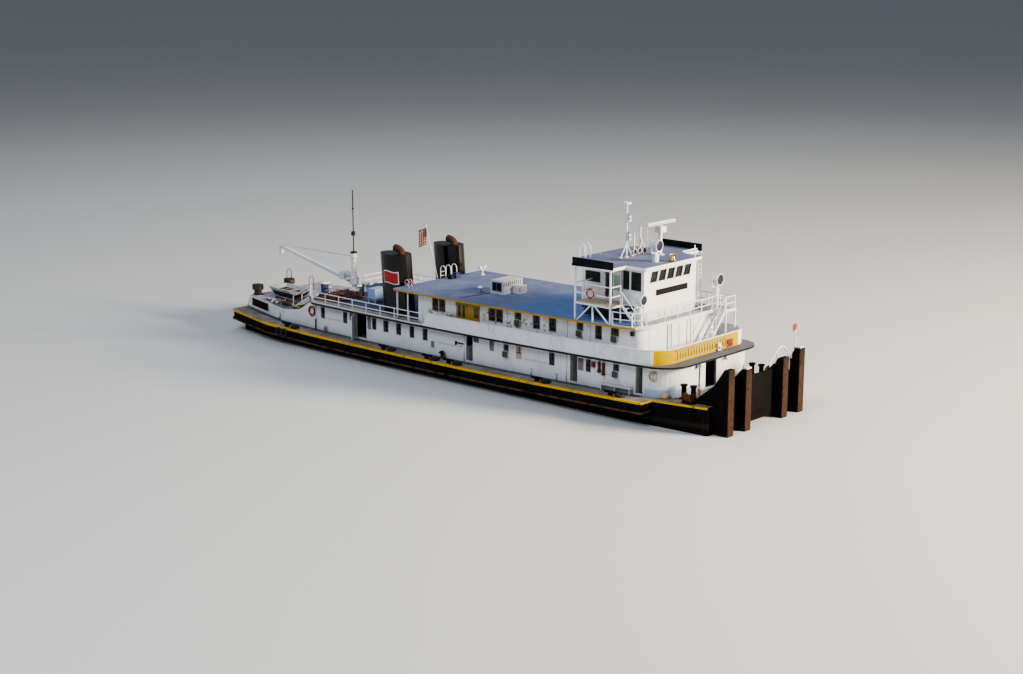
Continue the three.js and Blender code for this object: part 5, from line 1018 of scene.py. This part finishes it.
for i in range(84):
    x, y = random.uniform(-14.2, -12.2), random.uniform(-4.1, -1.3)
    turnBy, z = random.uniform(-0.8, 0.8), 6.0 + random.uniform(0, 0.3)
    dx, dy = math.cos(turnBy), math.sin(turnBy)
    size = random.uniform(0.22, 0.42)
    pile = heap["freshRust" if i % 5 == 1 else "rust"]
    if i % 4 < 2:  # a ratchet: a body with two screws and their eyes
        pile.tube([reached(-size), reached(-0.2, 0.02)], 0.025, 6)
        pile.tube([reached(-0.22, 0.02), reached(0.22, 0.03)], 0.055)
        pile.tube([reached(0.2, 0.03), reached(size)], 0.025, 6)
        for end in (-1, 1):
            pile.ring(reached((size + 0.07) * end), 0.07, 0.022, turns=12, sides=6)
    elif i % 4 == 2:
        for n in range(5):
            pile.ring(reached(0.11 * n, 0.05), 0.07, 0.022, (dy, -dx, n % 2), 10, 6)
        if i % 8 == 2:
            pile.turned([(0.15, 0), (0.15, 0.05), (0.09, 0.08), (0.09, 0.3), (0.14, 0.33), (0.14, 0.38)],
                        (x, y, onBoatDeck), sides=12)
    elif i % 8 == 3:
        long, wide = size * 1.6, 0.09
        outline = [(x + dx * a * long + dy * b * wide, y + dy * a * long - dx * b * wide)
                   for a, b in ((-1, -1), (1, -1), (1, 1), (-1, 1))]
        heap["plank"].slab(outline, onBoatDeck, boatDeckZ + 0.13)
heap["rust"].piece("deckGear", "rust", slot="rust")
heap["freshRust"].piece("deckChain", "freshRust", slot="rust")
heap["plank"].piece("deckTimber", "plank")
drumFoot = (-15.05, -2.5, onBoatDeck)
drum = Shape().turned([(0.28, 0), (0.28, 0.26), (0.295, 0.27), (0.295, 0.29), (0.28, 0.30), (0.28, 0.54), (0.295, 0.55),
                       (0.295, 0.57), (0.28, 0.58), (0.28, 0.82)], drumFoot, sides=24)
drum.piece("deckDrum", "blueDrum")
lid = Shape().turned([(0.33, 0.825), (0.34, 0.9), (0.30, 0.93), (0.02, 0.95)], drumFoot, sides=24)
lid.piece("deckDrumLid", "white")
pole = Shape().post(-12.45, -1.0, onBoatDeck, 6.9, 0.07, 10)
pole.turned([(0.14, 0), (0.14, 0.06), (0.08, 0.1)], (-12.45, -1.0, onBoatDeck), sides=12)
pole.piece("deckPole", "black", slot="hull")
print("deck gear made")

# Stern: a blank board on each tapered side of the casing, braces, a light box, and things left on the casing
sternBoards = {
    "sternBoardRim": {"paint": "beige", "proud": 0.02, "along": (-22.3, -19.75), "heights": (4.05, 4.68)},
    "sternBoard": {"paint": "board", "proud": 0.03, "along": (-22.25, -19.8), "heights": (4.09, 4.64)},
}
for side in bothSides:
    for name, board in sternBoards.items():
        (x0, x1), corners = board["along"], []
        for i in range(7):
            x = x0 + (x1 - x0) * i / 6
            corners += [(x - 0.192 * proud, 3.55 + (x + 22.62) * 0.1955 + 0.982 * proud, z)
                        for z in board["heights"] for proud in (0.0, board["proud"])]
        Shape(None, side).loft(corners).piece(name, board["paint"])
    brace = Shape(None, side).tube([(-22.64, 3.5, 4.72), (-22.9, 3.62, onDeck)], 0.05)
    brace.tube([(-22.64, 3.2, 4.72), (-22.9, 3.2, onDeck)], 0.04)
    brace.tube([(-22.79, 3.2, 4.2), (-22.79, 3.57, 4.2)], 0.03)
    brace.box(-18.2, -17.84, 4.6, 4.74, 4.07, 4.45)
    brace.turned([(0.05, 0), (0.05, 0.05)], (-18.02, 4.67, 4.45), sides=10)
    brace.piece("sternBraces", "white", bevel=0.01)
litter = {kind: Shape() for kind in ("plank", "rust", "yellow", "gear", "black")}
random.seed(11)
for i in range(44):
    x, y = random.uniform(-20.3, -17.3), random.uniform(-3.9, -2.75)
    y = max(y, -3.3 - (x + 22.62) * 0.19)
    turnBy, size = random.uniform(-0.5, 0.5), random.uniform(0.12, 0.34)
    dx, dy = math.cos(turnBy) * size, math.sin(turnBy) * size
    kind = ("plank", "rust", "plank", "black", "plank", "gear")[i % 6]
    z = onCasing + random.uniform(0, 0.1) * (kind != "gear")
    if kind == "plank":
        outline = [(x + dx * a - dy * b, y + dy * a + dx * b)
                   for a, b in ((-1.5, 0), (1.5, 0), (1.5, 0.3), (-1.5, 0.3))]
        litter[kind].slab(outline, z, z + 0.05)
    elif kind == "gear":
        litter[kind].turned([(0.10, 0), (0.12, 0.02), (0.12, 0.15), (0.09, 0.17)], (x, y, z), sides=12)
    else:
        litter[kind].tube([reached(-1, 0.06), reached(0, 0.09), reached(1, 0.06)], 0.045, 7)
        litter[kind].ring(reached(1.15, 0.05), 0.06, 0.02, turns=12, sides=6)
for x in (-17.2, -16.96, -16.72):
    litter["yellow"].tube([(x, -3.9, casingZ + 0.07), (x + 0.2, -3.45, casingZ + 0.1)], 0.06)
    litter["black"].tube([(x + 0.1, -3.95, casingZ + 0.06), (x + 0.3, -3.5, casingZ + 0.09)], 0.06)
for kind, pile in litter.items():
    pile.piece(f"casing{kind.capitalize()}", kind)
hoops, seat, tyres = shapes(3)
for x, y, z0, z1 in ((-22.2, 0.1, 5.615, 6.4), (-20.6, 1.0, 4.765, 5.95)):
    bent = ((-0.24, z0), (-0.22, z1 - 0.2), (-0.1, z1), (0.1, z1), (0.22, z1 - 0.2), (0.24, z0))
    hoops.tube([(x, y + out, z) for out, z in bent], 0.028, 7)
hoops.piece("sternHoops", "dark")
for x in (-20.9, -19.2):
    seat.box(x, x + 0.22, -2.1, -0.92, 5.22, 5.27)
seat.tube([(-21.3, -1.2, 4.99), (-19.3, -1.05, 5.03)], 0.035, 7)
seat.tube([(-21.2, -1.75, 4.99), (-19.4, -1.9, 5.03)], 0.035, 7)
seat.piece("skiffSeats", "plank")
for x in (-15.6, -5.3, -1.0, 1.1, 9.1, 15.2):
    for sign in bothSides.values():
        tyres.ring((x + 0.62, 5.62 * sign, deckZ + 0.1), 0.24, 0.095, turns=20)
for x in (-16.1, -15.5):
    for sign in bothSides.values():
        tyres.ring((x, 6.24 * sign, 3.5), 0.26, 0.095, (0, 1, 0), 24, 10)
tyres.piece("tyreFenders", "rubber", slot="hull")
print("stern fittings made")

# Roof deck: ladder hoops from the boat deck, vents, floodlights, boxes, a reel and its hose
roof, floods, reel, hose, hatch, hatchGlass = shapes(6)
hoopLine = ((-5.68, onBoatDeck), (-5.68, 8.75), (-5.6, 8.93), (-5.4, 9.0), (-5.22, 8.9), (-5.16, 8.72),
            (-5.16, onRoof))
for y in (0.4, 0.95, 1.55):
    roof.tube([(x, y, z) for x, z in hoopLine], 0.035)
for i in range(9):
    roof.tube([(-5.68, 0.4, 6.2 + i * 0.29), (-5.68, 0.95, 6.2 + i * 0.29)], 0.022, 6)
roof.turned([(0.16, 0), (0.16, 0.05), (0.06, 0.06), (0.06, 0.42)], (-4.23, 3.32, onRoof), sides=12)
roof.tube([(-4.23, 3.08, 8.5), (-4.23, 3.56, 8.5)], 0.04)
roof.turned([(0.11, 0), (0.11, 0.34), (0.2, 0.36), (0.2, 0.44), (0.08, 0.5)], (0.27, -1.74, onRoof), sides=14)
roof.piece("roofFittings", "white")
for y in (3.1, 3.54):
    floods.box(-4.33, -4.13, y - 0.17, y + 0.17, 8.52, 8.78)
floods.piece("roofFloodlights", "gear", bevel=0.03)
roofBoxes = (("roofBox", "black", 0.5, 0.84, 8.33), ("roofBlueBox", "blueDrum", 1.04, 1.42, 8.42))
for name, paint, y0, y1, top in roofBoxes:
    box = Shape().box(-5.07, -4.72, y0, y1, roofZ + 0.03, top).box(-5.09, -4.7, y0 - 0.02, y1 + 0.02, top, top + 0.04)
    for x in (-5.05, -4.84):
        box.box(x, x + 0.08, y0 + 0.02, y1 - 0.02, onRoof, roofZ + 0.03)
    box.piece(name, paint, bevel=0.01)
for y in (-3.62, -3.3):
    reel.ring((-5.07, y, 8.4), 0.2, 0.02, (0, 1, 0), 20, 6)
    reel.tube([(-5.3, y, onRoof), (-5.07, y, 8.4), (-4.84, y, onRoof)], 0.022, 6)
reel.piece("reelFrame", "white")
for i in range(5):
    hose.ring((-5.07, -3.57 + i * 0.055, 8.4), 0.13, 0.03, (0, 1, 0), 18, 7)
hose.tube([(x, y, roofZ + 0.024) for x, y in ((0.4, -3.98), (0.56, -3.2), (0.74, -2.3), (0.8, -1.34))], 0.02, 6)
hose.piece("redHose", "red")

# Hatch house: a window with its frame on each side, ribs and a grille in front
for y, sign in ((-1.25, -1), (0.75, 1)):
    hatchGlass.box(1.0, 1.82, y, y + 0.008 * sign, 8.3, 8.86)
    hatch.surround(1.0, 1.82, y, y + 0.03 * sign, 8.3, 8.86, 0.04)
    hatch.box(1.39, 1.42, y, y + 0.03 * sign, 8.3, 8.86)
for i in range(9):
    hatch.box(2.0, 2.03, -1.2 + i * 0.21, -1.12 + i * 0.21, 8.66, 8.94)
for i in range(6):
    hatch.box(2.55, 2.575, -0.26, 0.51, 8.12 + i * 0.075, 8.16 + i * 0.075)
hatch.piece("hatchTrim", "grey")
hatchGlass.piece("hatchGlass", "glass")

# Closed portholes in the rounded front corners, a dome and a vent on the foredeck
corner = {"middle": (17.25, 2.89), "radius": 1.7, "angle": 78, "height": 5.2}
c, s = math.cos(math.radians(corner["angle"])), math.sin(math.radians(corner["angle"]))
for side in bothSides:
    port, collar, dome = shapes(3, None, side)
    x, y, z = corner["middle"][0] + corner["radius"] * c, corner["middle"][1] + corner["radius"] * s, corner["height"]
    port.turned([(0.248, -0.07), (0.248, -0.03), (0.20, 0.005), (0.04, 0.02)], (x, y, z), (c, s, 0), 28)
    port.piece("porthole", "gear")
    collar.ring((x + c * 0.02, y + s * 0.02, z), 0.285, 0.045, (c, s, 0), 28)
    collar.post(x + c * 0.035, y + s * 0.035, z - 0.25, z + 0.25, 0.02, 6)
    collar.piece("portholeCollar", "beige")
    dome.turned([(0.32, 0), (0.33, 0.1), (0.30, 0.22), (0.20, 0.32), (0.03, 0.36)], (18.3, 4.2, onDeck), sides=24)
    dome.turned([(0.06, 0), (0.06, 0.3), (0.13, 0.36), (0.16, 0.46), (0.13, 0.57), (0.03, 0.62)],
                (19.74, 2.64, onDeck), sides=20)
    dome.piece("foredeckDome", "beige")
Shape().box(18.36, 18.4, 2.2, 2.8, 6.0, 6.5).piece("redBoard", "red", bevel=0.01)
hung, stowed, doorLamps = shapes(3)
for x, y, drop in ((13.36, -4.68, 0.72), (13.72, -4.7, 0.85)):
    hung.turned([(0.10, -drop), (0.13, -drop + 0.06), (0.085, -0.4), (0.10, -0.12), (0.03, 0)],
                (x, y, 5.62), sides=12)
    hung.tube([(x, -4.59, 5.66), (x, y, 5.66), (x, y, 5.6)], 0.015, 6)
hung.piece("hungGear", "rust")

# Ladder stowed along the front of the bulwark, its lamp, and the lamps at the front doorway
for z, y in ((6.68, -3.3), (6.12, -3.25)):
    stowed.box(18.36, 18.42, y, 2.2, z, z + 0.07)
for i in range(19):
    stowed.post(18.39, -3.1 + i * 0.285, 6.15, 6.70, 0.02, 6)
stowed.piece("stowedLadder", "alloy")
frontLamp = Shape().box(18.35, 18.5, 1.06, 1.38, 5.96, 6.46)
frontLamp.turned([(0.11, 0), (0.13, 0.03), (0.10, 0.10), (0.02, 0.14)], (18.5, 1.22, 6.2), (1, 0, 0))
frontLamp.piece("frontLamp", "white", bevel=0.015)
for y in (-1.78, 0.98):
    doorLamps.turned([(0.05, 0.3), (0.06, 0.24), (0.15, 0.14), (0.17, 0.02), (0.10, 0)], (19.2, y, 5.52))
    doorLamps.turned([(0.03, 0), (0.03, 0.02)], (19.2, y, 5.8), sides=8)
doorLamps.piece("doorLamps", "white")

staffs = Shape(-5.7).tube([(-5.7, 0.1, onRoof), (-6.0, -0.71, 11.99)], 0.035, 8, 0.022)
staffs.turned([(0.05, 0), (0.06, 0.04), (0.03, 0.09)], (-6.0, -0.71, 11.99), sides=10)
staffs.piece("ensignStaff", "white")

flags = {
    "ensign": {"staff": (-5.98, -0.68, 11.86), "hoist": 1.2, "fly": 1.8, "turns": 3.5, "reach": 0.86, "deep": 0.17,
               "steps": 90, "sink": 0.12, "rests": ["ensignStaff"]},
    "pennant": {"staff": (22.62, 3.72, 7.86), "hoist": 0.42, "fly": 0.62, "turns": 2.5, "reach": 0.5, "deep": 0.05,
                "steps": 50, "sink": 0.06, "rests": ["push_knees"]},
}


# Flags that hang limp: an even zigzag in plan with round turns, the same at every height, sinking away from the staff
def makeFlag(name, flag):
    count, rows, (x0, y0, z0) = flag["steps"], 14, flag["staff"]
    folds = []
    for t in [i / count for i in range(count + 1)]:
        sway = math.sin(flag["turns"] * 2 * math.pi * t) * (0.35 + 0.65 * t)
        folds.append((flag["deep"] * sway, -flag["reach"] * t))
    length = [0.0]
    for (xa, ya), (xb, yb) in zip(folds, folds[1:]):
        length.append(length[-1] + math.hypot(xb - xa, yb - ya))
    scale = flag["fly"] / length[-1]
    corners, faces, spots = [], [], []
    for r in range(rows + 1):
        for (x, y), s in zip(folds, length):
            across = s / length[-1]
            z = z0 + sheerAt(x0) - flag["hoist"] * r / rows - flag["sink"] * across
            corners.append(((x0 + x * scale) * half, (y0 + y * scale) * half, z * half))
            spots.append((across, 1 - r / rows))
    for start in range(0, rows * (count + 1), count + 1):
        faces += [(a, a + 1, a + count + 2, a + count + 1) for a in range(start, start + count)]
    mesh = bpy.data.meshes.new(name)
    mesh.from_pydata(corners, [], faces)
    layer = mesh.uv_layers.new(name="UVMap")
    for loop in mesh.loops:
        layer.data[loop.index].uv = spots[loop.vertex_index]
    mesh.polygons.foreach_set("use_smooth", [True] * len(faces))
    cloth = ride(name, mesh, name, "boat")


for name, flag in flags.items():
    makeFlag(name, flag)
print("flags made")

floorReach = 900
floorMesh = bpy.data.meshes.new("floor")
floorCorners = [(x * floorReach, y * floorReach, waterline * half) for x, y in ((-1, -1), (1, -1), (1, 1), (-1, 1))]
floorMesh.from_pydata(floorCorners, [], [(0, 1, 2, 3)])
paint = Paint("studioFloor")
floorMesh.materials.append(paint.finish(paint.mix(paint.noise(0.05, 2), (0.60, 0.61, 0.62), (0.64, 0.65, 0.66)), 0.8))
newObject("floor", floorMesh)
